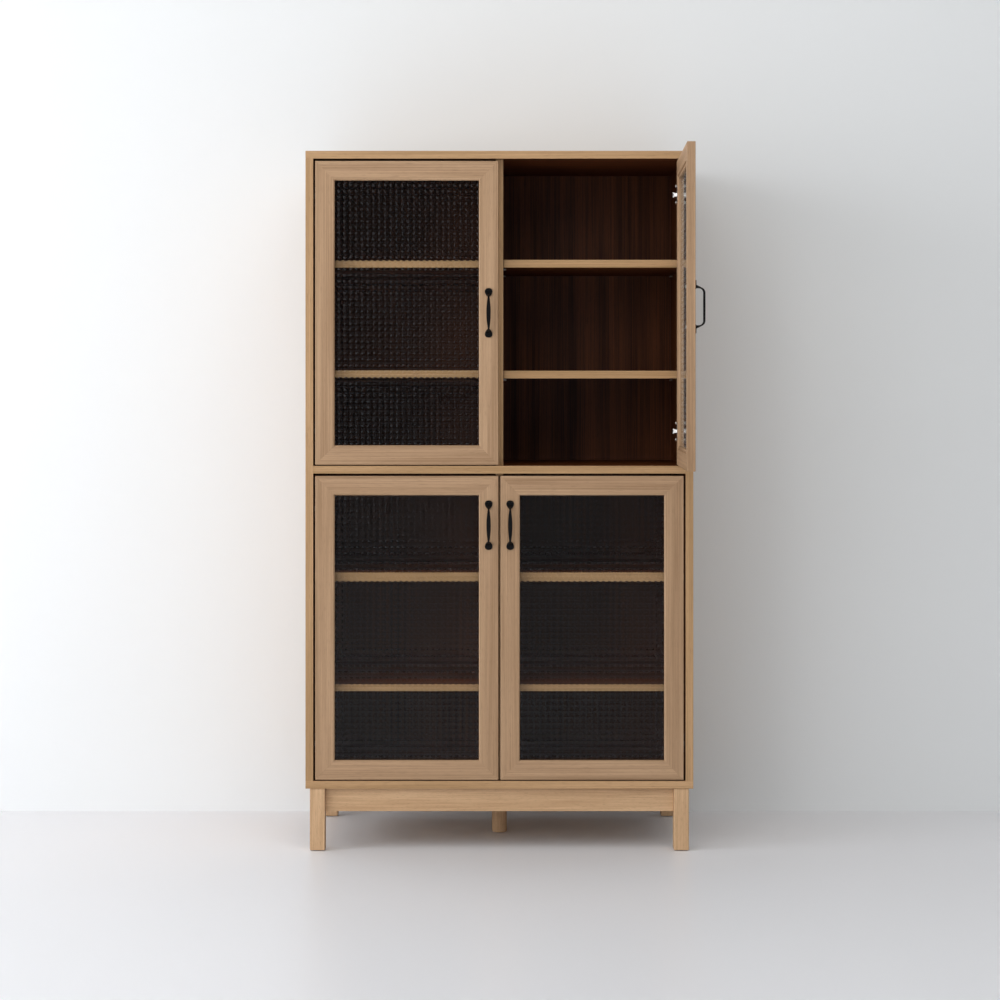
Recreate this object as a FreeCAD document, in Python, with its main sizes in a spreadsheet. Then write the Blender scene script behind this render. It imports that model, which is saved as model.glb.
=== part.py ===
import FreeCAD
import Part
import Sketcher
import os

# A free-standing kitchen cabinet in oak foil: two compartments, one over the other, each with a pair of
# glazed doors on concealed hinges, two shelves each side of a centre partition, and a leg frame below.
# +X is to the right of someone facing the doors, +Y is to the back, +Z is up, and the origin is on the
# floor under the middle of the cabinet. The upper right door stands open.

# Every size that can be set by itself, in millimetres.
SIZES = {
    # carcass boards and the two compartments
    "cabinet_width": 900,
    "cabinet_depth": 450,
    "board": 18,
    "compartment": 713,
    "partition_gap": 2,
    "back_panel": 5,
    "back_recess": 15,
    "groove_depth": 6,
    "groove_play": 0.2,
    # shelves and their pins
    "shelf_board": 18,
    "lower_shelf_top": 221,
    "upper_shelf_top": 480,
    "shelf_setback": 17,
    "shelf_back_gap": 2,
    "shelf_end_play": 0.5,
    "shelf_pin": 5,
    "shelf_pin_hole": 8,
    "shelf_pin_reach": 7,
    "shelf_pin_inset": 37,
    # leg frame
    "leg_height": 145,
    "leg_side": 35,
    "leg_bevel": 1.5,
    "leg_inset_side": 10,
    "leg_inset_front": 2,
    "rail_height": 55,
    "rail_board": 18,
    "rail_setback": 13,
    "tenon_length": 8,
    "tenon_thickness": 8,
    "tenon_shoulder": 8,
    "mortise_play": 0.2,
    "centre_leg": 36,
    "glide": 20,
    "glide_board": 1.5,
    "leg_bolt": 8,
    "leg_bolt_in_leg": 30,
    "leg_bolt_in_panel": 12,
    # door frames, glass and glazing beads
    "door_board": 18,
    "door_side_gap": 4.5,
    "door_centre_gap": 5,
    "door_bottom_gap": 2.5,
    "door_top_gap": 5.5,
    "frame_member": 45,
    "frame_bevel": 2,
    "rebate_width": 8,
    "rebate_lip": 7,
    "glass": 4,
    "glass_play": 0.3,
    "bead_width": 7,
    "bead_board": 5,
    # bow handles
    "handle_length": 114.5,
    "handle_drop": 114,
    "handle_reach": 22,
    "plate_width": 17.5,
    "plate_end": 12.8,
    "plate_board": 2.5,
    "plate_corner_drop": 2.75,
    "plate_shoulder_drop": 6.25,
    "plate_taper_radius": 14,
    "plate_taper_length": 19.25,
    "foot_from_end": 13.85,
    "foot_height": 7.3,
    "foot_width": 8,
    "flare_from_end": 16.25,
    "neck_from_end": 20.25,
    "neck_width": 4,
    "grip_from_end": 27.25,
    "grip_width": 10,
    "grip_depth": 4.6,
    "bow_shoulder_from_end": 16.25,
    "bow_shoulder_reach": 14.5,
    "bow_inner_reach": 7.5,
    "handle_screw": 4,
    "handle_screw_hole": 4.5,
    "handle_thread": 5,
    "handle_screw_head": 8,
    "handle_screw_head_board": 2.2,
    # concealed hinges: places are measured from the side panel's inner face and from the front edges
    "hinge_inset": 78,
    "axis_from_side": 9.2,
    "axis_from_front": 7.7,
    "cup_pin_from_side": 14.5,
    "cup_pin_from_front": 16,
    "link_reach": 10.5,
    "cup": 26,
    "cup_depth": 10.5,
    "cup_edge": 3.5,
    "cup_sheet": 0.8,
    "cup_play": 0.05,
    "cup_mouth": 8.6,
    "cup_mouth_depth": 4.5,
    "cup_flange_board": 1,
    "cup_flange_length": 46,
    "cup_flange_width": 10,
    "cup_flange_offset": 5,
    "cup_screw_spacing": 38,
    "cup_screw_head": 6.4,
    "cup_screw_head_board": 1.6,
    "ear_board": 1,
    "ear_length": 6.8,
    "ear_drop": 0.2,
    "ear_play": 0.3,
    "link_pin": 1.8,
    "link_pin_length": 11,
    "link_sheet": 1.4,
    "link_web": 1,
    "link_web_start": 2.2,
    "link_height": 3.6,
    "link_width": 7.6,
    "arm_pin": 2,
    "arm_pin_play": 0.05,
    "arm_width": 11,
    "arm_sheet": 1.4,
    "arm_nose_radius": 2.4,
    "arm_top": 15,
    "arm_skirt": 7,
    "arm_rear": 74,
    "crank_front": 24,
    "crank_back": 37,
    "crank_skew": 2,
    "fork_end": 16,
    "tower_play": 0.3,
    "tower_front": 42,
    "tower_rear": 70,
    "base_front": 38,
    "base_width": 12,
    "base_board": 2.5,
    "wing_length": 44,
    "wing_width": 12,
    "wing_place": 55,
    "plate_screw_spacing": 32,
    "plate_screw": 3.5,
    "plate_screw_in_panel": 12,
    "plate_screw_head": 7,
    "plate_screw_head_board": 1.8,
    # how far a cut runs past the face it starts or ends at
    "overrun": 1,
}

# Angles in degrees: how far open the upper right door stands.
ANGLES = {"shown_open": 88.4}

# To keep the model light, small pins, screws and eyes are drawn with this many flats, and hinge cups with more.
FLATS = 8
CUP_FLATS = 12

doc = FreeCAD.newDocument("kitchen_cabinet")
sheet = doc.addObject("Spreadsheet::Sheet", "size")
for row, (name, number) in enumerate({**SIZES, **ANGLES}.items(), start=1):
    sheet.set(f"A{row}", name)
    sheet.set(f"B{row}", str(number))
    sheet.setAlias(f"B{row}", name)
doc.recompute()

# Places that follow from the sizes, as expressions. Each is kept in brackets so that it can be used in a sum.
HALF_WIDTH = "(size.cabinet_width / 2)"
HALF_DEPTH = "(size.cabinet_depth / 2)"
HALF_BOARD = "(size.board / 2)"
SIDE_INNER = f"({HALF_WIDTH} - size.board)"
BACK_FACE = f"({HALF_DEPTH} - size.back_recess - size.back_panel)"
LOWER_FLOOR = "(size.leg_height + size.board)"
MIDDLE_PANEL = f"({LOWER_FLOOR} + size.compartment)"
UPPER_FLOOR = f"({MIDDLE_PANEL} + size.board)"
TOP_PANEL = f"({UPPER_FLOOR} + size.compartment)"
PARTITION_FRONT = f"(size.door_board + size.partition_gap - {HALF_DEPTH})"
SHELF_FRONT = f"(size.door_board + size.shelf_setback - {HALF_DEPTH})"
SHELF_BACK = f"({BACK_FACE} - size.shelf_back_gap)"
DOOR_WIDTH = f"({SIDE_INNER} - size.door_side_gap - size.door_centre_gap / 2)"
DOOR_HEIGHT = "(size.compartment - size.door_bottom_gap - size.door_top_gap)"
DOOR_FREE_EDGE = f"(size.door_side_gap + {DOOR_WIDTH})"

# The two compartments by name, with the height of each floor, and the two sides with their sign on X.
FLOORS = {"lower": LOWER_FLOOR, "upper": UPPER_FLOOR}
SIDES = {"left": -1, "right": 1}
SHELF_TOPS = {"lower": "size.lower_shelf_top", "upper": "size.upper_shelf_top"}
OPEN_DOOR = ("upper", "right")

nodes = []


def number(expression):
    """The value of an expression with the sheet's present sizes."""
    found = sheet.evalExpression(expression)
    return float(getattr(found, "Value", found))


def bind(item, **sizes):
    """Binds each named property of an object to an expression. Two underscores in a name stand for a dot."""
    for name, expression in sizes.items():
        item.setExpression(name.replace("__", "."), expression)


def node(item, label):
    """Marks an object as a finished sub-part of this name."""
    item.Label = label
    nodes.append(item)
    return item


def new_body(name):
    return doc.addObject("PartDesign::Body", name)


def sketch_on(body, plane, offset="0"):
    """A sketch on one of the body's own origin planes, moved along that plane's axis by the offset."""
    item = body.newObject("Sketcher::SketchObject", f"{body.Name}_sketch")
    support = [feature for feature in body.Origin.OriginFeatures if feature.Role == f"{plane}_Plane"]
    item.AttachmentSupport = (support[0], "")
    item.MapMode = "FlatFace"
    # The XZ plane's normal points along -Y, and the other two along their own axis.
    normal = -1 if plane == "XZ" else 1
    bind(item, AttachmentOffset__Base__z=f"({offset}) * {normal}")
    return item


def constrain(sketch, constraints):
    """Adds constraints in one go. Each is (kind, curve, point..., expression), the last one None for no size."""
    first = sketch.ConstraintCount
    made = []
    for *words, expression in constraints:
        made.append(Sketcher.Constraint(*words) if expression is None else Sketcher.Constraint(*words, number(expression)))
    sketch.addConstraint(made)
    for index, (*_, expression) in enumerate(constraints, start=first):
        if expression is not None:
            sketch.setExpression(f"Constraints[{index}]", expression)


def fixed_point(curve, point, x, y):
    """The constraints that fix a point of a curve at two expressions, measured from the sketch's origin."""
    return [("DistanceX", curve, point, x), ("DistanceY", curve, point, y)]


def arc_middle(start, end, radius, side):
    """The middle point of the arc of this radius that bulges to the left (1) or right (-1) of its chord."""
    chord = end - start
    rise = radius - max(radius**2 - chord.Length**2 / 4, 0) ** 0.5
    left = FreeCAD.Vector(-chord.y, chord.x, 0).normalize()
    return (start + end) / 2 + left * rise * side


def outline(sketch, corners):
    """Draws a closed outline. A corner is (x, y), or (x, y, radius, side) where an arc runs on from it."""
    first = sketch.GeometryCount
    places = [FreeCAD.Vector(number(corner[0]), number(corner[1]), 0) for corner in corners]
    curves = []
    ends = []
    for index, corner in enumerate(corners):
        start = places[index]
        end = places[(index + 1) % len(places)]
        if len(corner) == 2:
            curves.append(Part.LineSegment(start, end))
            ends.append((1, 2))
            continue
        curves.append(Part.Arc(start, arc_middle(start, end, number(corner[2]), corner[3]), end))
        # The sketcher keeps every arc anticlockwise, so one that bulges to the left is stored end first.
        ends.append((1, 2) if corner[3] < 0 else (2, 1))
    sketch.addGeometry(curves, False)
    constraints = []
    for index, corner in enumerate(corners):
        before = (index - 1) % len(corners)
        constraints.append(
            ("Coincident", first + before, ends[before][1], first + index, ends[index][0], None)
        )
        constraints += fixed_point(first + index, ends[index][0], corner[0], corner[1])
        if len(corner) == 4:
            constraints.append(("Radius", first + index, corner[2]))
    constrain(sketch, constraints)


def rectangle(sketch, left, bottom, right, top):
    outline(sketch, [(left, bottom), (right, bottom), (right, top), (left, top)])


def circle(sketch, x, y, radius):
    index = sketch.addGeometry(
        Part.Circle(FreeCAD.Vector(number(x), number(y), 0), FreeCAD.Vector(0, 0, 1), number(radius)), False
    )
    constrain(sketch, [*fixed_point(index, 3, x, y), ("Radius", index, radius)])


def flat_corners(x, y, radius, first, last, flats=FLATS):
    """The corners from first to last, counted from +X, of a round drawn with flats. The radius is to its flats."""
    corners = []
    for index in range(first, last + 1):
        angle = 360 / flats * (index + 0.5)
        reach = f"({radius}) / cos({180 / flats})"
        corners.append((f"({x}) + {reach} * cos({angle})", f"({y}) + {reach} * sin({angle})"))
    return corners


def flat_round(sketch, x, y, radius, flats=FLATS):
    """Draws a small pin, screw, hole or cup with flats in place of its round."""
    outline(sketch, flat_corners(x, y, radius, 0, flats - 1, flats))


def pad(body, sketch, length, toward=1, symmetric=False):
    """Pads a sketch along its plane's axis, toward plus (1) or minus (-1), or half to each side."""
    feature = body.newObject("PartDesign::Pad", f"{body.Name}_pad")
    feature.Profile = sketch
    set_direction(feature, sketch, toward, symmetric)
    bind(feature, Length=length)
    return feature


def pocket(body, sketch, depth, toward=1, symmetric=False):
    """Cuts a sketch's outline out of the body, to the depth, toward plus (1) or minus (-1) on its plane's axis."""
    feature = body.newObject("PartDesign::Pocket", f"{body.Name}_pocket")
    feature.Profile = sketch
    set_direction(feature, sketch, -toward, symmetric)
    bind(feature, Length=depth)
    return feature


def set_direction(feature, sketch, toward, symmetric):
    """A pad runs along its sketch's normal unless it is reversed, and the normal is -Y on the XZ plane."""
    on_xz = sketch.AttachmentSupport[0][0].Role == "XZ_Plane"
    feature.Reversed = (toward > 0) if on_xz else (toward < 0)
    if symmetric:
        feature.SideType = "Symmetric"


def block(name, x_range, y_range, base, height):
    """A board or post: a rectangle between the X and Y limits, padded up from its base."""
    body = new_body(name)
    drawing = sketch_on(body, "XY")
    rectangle(drawing, x_range[0], y_range[0], x_range[1], y_range[1])
    pad(body, drawing, height)
    bind(body, Placement__Base__z=base)
    return body


def fastener(name, parts):
    """A small pin or screw along Z. Each part of it is (radius, low end, high end)."""
    body = new_body(name)
    for radius, low, high in parts:
        drawing = sketch_on(body, "XY", low)
        flat_round(drawing, "0", "0", radius)
        pad(body, drawing, f"{high} - ({low})")
    return body


def turn(axis, angle):
    """The expression of a rotation by this angle about X, Y or Z."""
    vector = {"X": "1; 0; 0", "Y": "0; 1; 0", "Z": "0; 0; 1"}[axis]
    return f"rotation(vector({vector}); {angle})"


def place(x="0", y="0", z="0", rotation=None):
    """The expression of a placement at a point, with a rotation from turn()."""
    return f"placement(vector({x}; {y}; {z}); {rotation or turn('Z', '0')})"


def copy_of(master, placement):
    """A linked copy of a finished piece at a placement."""
    link = doc.addObject("App::Link", f"{master.Name}_copy")
    link.LinkedObject = master
    link.setExpression("Placement", placement)
    return link


def group(label, pieces, placement=None):
    """One node of several separate solids."""
    compound = doc.addObject("Part::Compound", label)
    compound.Links = pieces
    if placement:
        compound.setExpression("Placement", placement)
    return node(compound, label)


# Door coordinates: X runs from the side panel's inner face towards the middle of the cabinet, Y is the depth
# behind the front edges and Z runs up from the door's edge, on the right from its top edge down, because a
# right hand door is a left hand door turned upside down.


def door_corner(level, side):
    """The placement of a closed door's coordinates in the cabinet."""
    bottom = f"{FLOORS[level]} + size.door_bottom_gap"
    if side == "left":
        return place(f"-{SIDE_INNER}", f"-{HALF_DEPTH}", bottom)
    return place(SIDE_INNER, f"-{HALF_DEPTH}", f"{bottom} + {DOOR_HEIGHT}", turn("Y", "180"))


def door_place(level, side):
    """The placement of a door's coordinates as the door stands, open or closed."""
    closed = door_corner(level, side)
    if (level, side) != OPEN_DOOR:
        return closed
    opening = turn("Z", "-size.shown_open")
    return f"{closed} * placement(vector(0; 0; 0); {opening}; vector(size.axis_from_side; size.axis_from_front; 0))"


DOORS = [(level, side) for level in FLOORS for side in SIDES]
HINGE_HEIGHTS = ["size.hinge_inset", f"({DOOR_HEIGHT} - size.hinge_inset)"]


# Carcass boards
def groove(body, floor, toward, half_length):
    """A groove for a back panel, across a board's face at this height."""
    drawing = sketch_on(body, "XY", floor)
    rectangle(drawing, f"-{half_length}", BACK_FACE, half_length, f"{BACK_FACE} + size.back_panel")
    pocket(body, drawing, "size.groove_depth", toward)


GROOVE_REACH = f"({SIDE_INNER} + size.groove_depth)"
across = (f"-{HALF_WIDTH}", HALF_WIDTH)
between = (f"-{SIDE_INNER}", SIDE_INNER)
front_to_back = (f"-{HALF_DEPTH}", HALF_DEPTH)

LEG_OUTER_X = f"({HALF_WIDTH} - size.leg_inset_side)"
LEG_INNER_X = f"({LEG_OUTER_X} - size.leg_side)"
LEG_OUTER_Y = f"({HALF_DEPTH} - size.leg_inset_front)"
LEG_INNER_Y = f"({LEG_OUTER_Y} - size.leg_side)"
LEG_CENTRES = [("0", "0")]
for x_sign in (-1, 1):
    for y_sign in (-1, 1):
        LEG_CENTRES.append(
            (f"({LEG_OUTER_X} + {LEG_INNER_X}) / 2 * {x_sign}", f"({LEG_OUTER_Y} + {LEG_INNER_Y}) / 2 * {y_sign}")
        )

top_panel = node(block("top_panel", across, front_to_back, TOP_PANEL, "size.board"), "top_panel")
groove(top_panel, "0", 1, GROOVE_REACH)

bottom_panel = node(block("bottom_panel", across, front_to_back, "size.leg_height", "size.board"), "bottom_panel")
groove(bottom_panel, "size.board", -1, GROOVE_REACH)
bolt_holes = sketch_on(bottom_panel, "XY")
for x, y in LEG_CENTRES:
    flat_round(bolt_holes, x, y, "size.leg_bolt / 2")
pocket(bottom_panel, bolt_holes, "size.leg_bolt_in_panel", 1)

middle_panel = node(block("middle_panel", between, front_to_back, MIDDLE_PANEL, "size.board"), "middle_panel")
groove(middle_panel, "size.board", -1, SIDE_INNER)
groove(middle_panel, "0", 1, SIDE_INNER)


def shelf_pin_holes(drawing, base):
    """Draws the holes of one compartment's shelf pins on an upright face, above this height."""
    for top in SHELF_TOPS.values():
        for y in (f"{SHELF_FRONT} + size.shelf_pin_inset", f"{SHELF_BACK} - size.shelf_pin_inset"):
            z = f"{base} + {top} - size.shelf_board - size.shelf_pin / 2"
            flat_round(drawing, y, z, "size.shelf_pin / 2")


for side, sign in SIDES.items():
    x_range = (f"{SIDE_INNER} * {sign}", f"{HALF_WIDTH} * {sign}")
    panel = block(f"{side}_side_panel", x_range, front_to_back, LOWER_FLOOR, "2 * size.compartment + size.board")
    node(panel, f"{side}_side_panel")
    inner = f"{SIDE_INNER} * {sign}"
    slot = sketch_on(panel, "YZ", inner)
    rectangle(slot, BACK_FACE, "0", f"{BACK_FACE} + size.back_panel", "2 * size.compartment + size.board")
    pocket(panel, slot, "size.groove_depth", sign)
    pin_holes = sketch_on(panel, "YZ", inner)
    screw_holes = sketch_on(panel, "YZ", inner)
    for base in ("0", "(size.compartment + size.board)"):
        shelf_pin_holes(pin_holes, base)
        for height in HINGE_HEIGHTS:
            for end in (-1, 1):
                z = f"{base} + size.door_bottom_gap + {height} + size.plate_screw_spacing / 2 * {end}"
                flat_round(screw_holes, f"size.wing_place - {HALF_DEPTH}", z, "size.plate_screw / 2")
    pocket(panel, pin_holes, "size.shelf_pin_hole", sign)
    pocket(panel, screw_holes, "size.plate_screw_in_panel", sign)

for level, floor in FLOORS.items():
    partition = block(
        f"{level}_partition", (f"-{HALF_BOARD}", HALF_BOARD), (PARTITION_FRONT, BACK_FACE), floor, "size.compartment"
    )
    node(partition, f"{level}_partition")
    for sign in SIDES.values():
        pin_holes = sketch_on(partition, "YZ", f"{HALF_BOARD} * {sign}")
        shelf_pin_holes(pin_holes, "0")
        pocket(partition, pin_holes, "size.shelf_pin_hole", -sign)

for level, floor in FLOORS.items():
    back = node(doc.addObject("Part::Box", f"{level}_back_panel"), f"{level}_back_panel")
    bind(
        back,
        Length=f"2 * ({GROOVE_REACH} - size.groove_play)",
        Width="size.back_panel",
        Height="size.compartment + 2 * size.groove_depth - size.groove_play",
        Placement__Base__x=f"size.groove_play - {GROOVE_REACH}",
        Placement__Base__y=BACK_FACE,
        Placement__Base__z=f"{floor} - size.groove_depth",
    )

# Shelves and shelf pins
pin_master = fastener("shelf_pin", [("size.shelf_pin / 2", "-size.shelf_pin_hole", "size.shelf_pin_reach")])
shelf_pins = []
for level, floor in FLOORS.items():
    for side, sign in SIDES.items():
        for row, top in SHELF_TOPS.items():
            shelf = doc.addObject("Part::Box", f"{level}_{side}_{row}_shelf")
            node(shelf, f"{level}_{side}_{row}_shelf")
            length = f"({SIDE_INNER} - {HALF_BOARD} - 2 * size.shelf_end_play)"
            start = f"{HALF_BOARD} + size.shelf_end_play" if sign > 0 else f"size.shelf_end_play - {SIDE_INNER}"
            bind(
                shelf,
                Length=length,
                Width=f"{SHELF_BACK} - {SHELF_FRONT}",
                Height="size.shelf_board",
                Placement__Base__x=start,
                Placement__Base__y=SHELF_FRONT,
                Placement__Base__z=f"{floor} + {top} - size.shelf_board",
            )
            z = f"{floor} + {top} - size.shelf_board - size.shelf_pin / 2"
            for y in (f"{SHELF_FRONT} + size.shelf_pin_inset", f"{SHELF_BACK} - size.shelf_pin_inset"):
                outward = turn("Y", "90 * -1" if sign > 0 else "90")
                inward = turn("Y", "90" if sign > 0 else "90 * -1")
                shelf_pins.append(copy_of(pin_master, place(f"{SIDE_INNER} * {sign}", y, z, outward)))
                shelf_pins.append(copy_of(pin_master, place(f"{HALF_BOARD} * {sign}", y, z, inward)))
group("shelf_pins", shelf_pins)

# Leg frame
RAIL_OUTER_X = f"({LEG_OUTER_X} - size.rail_setback)"
RAIL_OUTER_Y = f"({LEG_OUTER_Y} - size.rail_setback)"
RAIL_BASE = "(size.leg_height - size.rail_height)"
LEG_LENGTH = "(size.leg_height - size.glide_board)"
TENON_LOW = "size.tenon_shoulder"
TENON_HIGH = "(size.rail_height - size.tenon_shoulder)"


def tenon_range(rail_outer, sign):
    """The two sides of a tenon in the middle of a rail's thickness."""
    centre = f"({rail_outer} - size.rail_board / 2) * {sign}"
    return f"{centre} - size.tenon_thickness / 2", f"{centre} + size.tenon_thickness / 2"


def vertical_edges(feature):
    """The names of a feature's edges that run straight up."""
    found = []
    for index, edge in enumerate(feature.Shape.Edges, start=1):
        box = edge.BoundBox
        if box.XLength + box.YLength < edge.Length / 1000:
            found.append(f"Edge{index}")
    return found


for y_name, y_sign in (("front", -1), ("rear", 1)):
    for side, x_sign in SIDES.items():
        x_range = (f"{LEG_INNER_X} * {x_sign}", f"{LEG_OUTER_X} * {x_sign}")
        y_range = (f"{LEG_INNER_Y} * {y_sign}", f"{LEG_OUTER_Y} * {y_sign}")
        leg = block(f"{y_name}_{side}_leg", x_range, y_range, "size.glide_board", LEG_LENGTH)
        node(leg, f"{y_name}_{side}_leg")
        doc.recompute()
        post = leg.Tip
        bevel = leg.newObject("PartDesign::Chamfer", f"{leg.Name}_bevel")
        bevel.Base = (post, vertical_edges(post))
        bind(bevel, Size="size.leg_bevel")
        rail_base = f"({RAIL_BASE} - size.glide_board)"
        low, high = f"{rail_base} + {TENON_LOW}", f"{rail_base} + {TENON_HIGH}"
        mortise = sketch_on(leg, "YZ", f"{LEG_INNER_X} * {x_sign}")
        y_low, y_high = tenon_range(RAIL_OUTER_Y, y_sign)
        rectangle(mortise, y_low, low, y_high, high)
        pocket(leg, mortise, "size.tenon_length + size.mortise_play", x_sign)
        mortise = sketch_on(leg, "XZ", f"{LEG_INNER_Y} * {y_sign}")
        x_low, x_high = tenon_range(RAIL_OUTER_X, x_sign)
        rectangle(mortise, x_low, low, x_high, high)
        pocket(leg, mortise, "size.tenon_length + size.mortise_play", y_sign)
        bolt_hole = sketch_on(leg, "XY", LEG_LENGTH)
        x_centre = f"({LEG_OUTER_X} + {LEG_INNER_X}) / 2 * {x_sign}"
        y_centre = f"({LEG_OUTER_Y} + {LEG_INNER_Y}) / 2 * {y_sign}"
        flat_round(bolt_hole, x_centre, y_centre, "size.leg_bolt / 2")
        pocket(leg, bolt_hole, "size.leg_bolt_in_leg", -1)

for y_name, y_sign in (("front", -1), ("rear", 1)):
    y_range = (f"({RAIL_OUTER_Y} - size.rail_board) * {y_sign}", f"{RAIL_OUTER_Y} * {y_sign}")
    rail = block(f"{y_name}_rail", (f"-{LEG_INNER_X}", LEG_INNER_X), y_range, RAIL_BASE, "size.rail_height")
    node(rail, f"{y_name}_rail")
    for x_sign in SIDES.values():
        tenon = sketch_on(rail, "YZ", f"{LEG_INNER_X} * {x_sign}")
        y_low, y_high = tenon_range(RAIL_OUTER_Y, y_sign)
        rectangle(tenon, y_low, TENON_LOW, y_high, TENON_HIGH)
        pad(rail, tenon, "size.tenon_length", x_sign)

side_rails = []
for side, x_sign in SIDES.items():
    x_range = (f"({RAIL_OUTER_X} - size.rail_board) * {x_sign}", f"{RAIL_OUTER_X} * {x_sign}")
    rail = block(f"{side}_rail", x_range, (f"-{LEG_INNER_Y}", LEG_INNER_Y), RAIL_BASE, "size.rail_height")
    for y_sign in SIDES.values():
        tenon = sketch_on(rail, "XZ", f"{LEG_INNER_Y} * {y_sign}")
        x_low, x_high = tenon_range(RAIL_OUTER_X, x_sign)
        rectangle(tenon, x_low, TENON_LOW, x_high, TENON_HIGH)
        pad(rail, tenon, "size.tenon_length", y_sign)
    side_rails.append(rail)
group("side_rails", side_rails)

centre_leg = new_body("centre_leg")
post = sketch_on(centre_leg, "XY")
circle(post, "0", "0", "size.centre_leg / 2")
pad(centre_leg, post, LEG_LENGTH)
node(centre_leg, "centre_leg")
bind(centre_leg, Placement__Base__z="size.glide_board")
bolt_hole = sketch_on(centre_leg, "XY", LEG_LENGTH)
flat_round(bolt_hole, "0", "0", "size.leg_bolt / 2")
pocket(centre_leg, bolt_hole, "size.leg_bolt_in_leg", -1)

bolt_master = fastener("leg_bolt", [("size.leg_bolt / 2", "-size.leg_bolt_in_leg", "size.leg_bolt_in_panel")])
glide_master = fastener("glide_disc", [("size.glide / 2", "0", "size.glide_board")])
group("leg_bolts", [copy_of(bolt_master, place(x, y, "size.leg_height")) for x, y in LEG_CENTRES])
group("leg_glides", [copy_of(glide_master, place(x, y)) for x, y in LEG_CENTRES])


# Door frames, glass and glazing beads
def moulding(name, length, width, profile):
    """A straight moulding along X, mitred at both ends. Its outer edge is at Y zero and its face at Z zero."""
    body = new_body(name)
    section = sketch_on(body, "YZ")
    outline(section, profile)
    pad(body, section, length)
    mitres = sketch_on(body, "XY")
    far = f"{width} + size.overrun"
    outline(mitres, [("-size.overrun", "-size.overrun"), (far, far), ("-size.overrun", far)])
    end = f"{length} + size.overrun"
    outline(mitres, [(end, "-size.overrun"), (end, far), (f"{length} - ({far})", far)])
    pocket(body, mitres, "2 * size.door_board", -1)
    return body


def mitred_frame(members, inset):
    """Stands four mouldings round a door: the hinge stile, the top rail, the free stile and the bottom rail."""
    left, right = f"size.door_side_gap + {inset}", f"{DOOR_FREE_EDGE} - {inset}"
    low, high = f"({inset})", f"{DOOR_HEIGHT} - {inset}"
    flat = turn("X", "90")
    corners = [(left, high, "90"), (right, high, "180"), (right, low, "270"), (left, low, "0")]
    return [
        copy_of(member, f"{place(x, '0', z, turn('Y', angle))} * {place(rotation=flat)}")
        for member, (x, z, angle) in zip(members, corners)
    ]


FRAME_PROFILE = [
    ("0", "-size.door_board"),
    ("size.frame_member - size.rebate_width", "-size.door_board"),
    ("size.frame_member - size.rebate_width", "-size.rebate_lip"),
    ("size.frame_member", "-size.rebate_lip"),
    ("size.frame_member", "-size.frame_bevel"),
    ("size.frame_member - size.frame_bevel", "0"),
    ("size.frame_bevel", "0"),
    ("0", "-size.frame_bevel"),
]
# Places along the handle, from its middle.
HANDLE_TIP = "(size.handle_length / 2)"
FOOT = f"({HANDLE_TIP} - size.foot_from_end)"
FLARE = f"({HANDLE_TIP} - size.flare_from_end)"
NECK = f"({HANDLE_TIP} - size.neck_from_end)"
STRAIGHT = f"({HANDLE_TIP} - size.grip_from_end)"
SHOULDER = f"({HANDLE_TIP} - size.bow_shoulder_from_end)"

CUP_CENTRE = "(size.cup_edge + size.cup / 2)"
CUP_BORE = "(size.cup / 2 + size.cup_play)"

rail_member = moulding("door_rail", DOOR_WIDTH, "size.frame_member", FRAME_PROFILE)
hinge_stile = moulding("hinge_stile", DOOR_HEIGHT, "size.frame_member", FRAME_PROFILE)
cup_bores = sketch_on(hinge_stile, "XY", "-size.door_board")
for height in HINGE_HEIGHTS:
    flat_round(cup_bores, height, CUP_CENTRE, CUP_BORE, CUP_FLATS)
pocket(hinge_stile, cup_bores, "size.cup_depth + size.cup_play", 1)


def handle_height(level, side):
    """How far up in its own coordinates a door carries its handle: in the middle above, near the top below."""
    if level == "upper":
        return f"({DOOR_HEIGHT} / 2)"
    return f"({DOOR_HEIGHT} - size.handle_drop)" if side == "left" else "size.handle_drop"


def free_stile(level, side):
    """The stile with the two holes for the handle's screws."""
    stile = moulding(f"{level}_{side}_free_stile", DOOR_HEIGHT, "size.frame_member", FRAME_PROFILE)
    holes = sketch_on(stile, "XY")
    for end in (-1, 1):
        place_along = f"{handle_height(level, side)} + {FOOT} * {end}"
        flat_round(holes, place_along, "size.frame_member / 2", "size.handle_screw_hole / 2")
    pocket(stile, holes, "2 * size.door_board", -1)
    return stile


BEAD_INSET = "(size.frame_member - size.rebate_width)"
BEAD_FACE = "(size.rebate_lip + size.glass)"
BEAD_PROFILE = [
    ("0", f"-({BEAD_FACE} + size.bead_board)"),
    ("size.bead_width", f"-({BEAD_FACE} + size.bead_board)"),
    ("size.bead_width", f"-{BEAD_FACE}"),
    ("0", f"-{BEAD_FACE}"),
]
short_bead = moulding("short_bead", f"({DOOR_WIDTH} - 2 * {BEAD_INSET})", "size.bead_width", BEAD_PROFILE)
long_bead = moulding("long_bead", f"({DOOR_HEIGHT} - 2 * {BEAD_INSET})", "size.bead_width", BEAD_PROFILE)

for level, side in DOORS:
    name = f"{level}_{side}"
    here = door_place(level, side)
    members = [hinge_stile, rail_member, free_stile(level, side), rail_member]
    group(f"{name}_door_frame", mitred_frame(members, "0"), here)
    pane = doc.addObject("Part::Box", f"{name}_glass")
    node(pane, f"{name}_glass")
    edge = f"({BEAD_INSET} + size.glass_play)"
    bind(
        pane,
        Length=f"{DOOR_WIDTH} - 2 * {edge}",
        Width="size.glass",
        Height=f"{DOOR_HEIGHT} - 2 * {edge}",
        Placement=f"{here} * {place(f'size.door_side_gap + {edge}', 'size.rebate_lip', edge)}",
    )
    beads = mitred_frame([long_bead, short_bead, long_bead, short_bead], BEAD_INSET)
    group(f"{name}_glazing_beads", beads, here)


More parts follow.
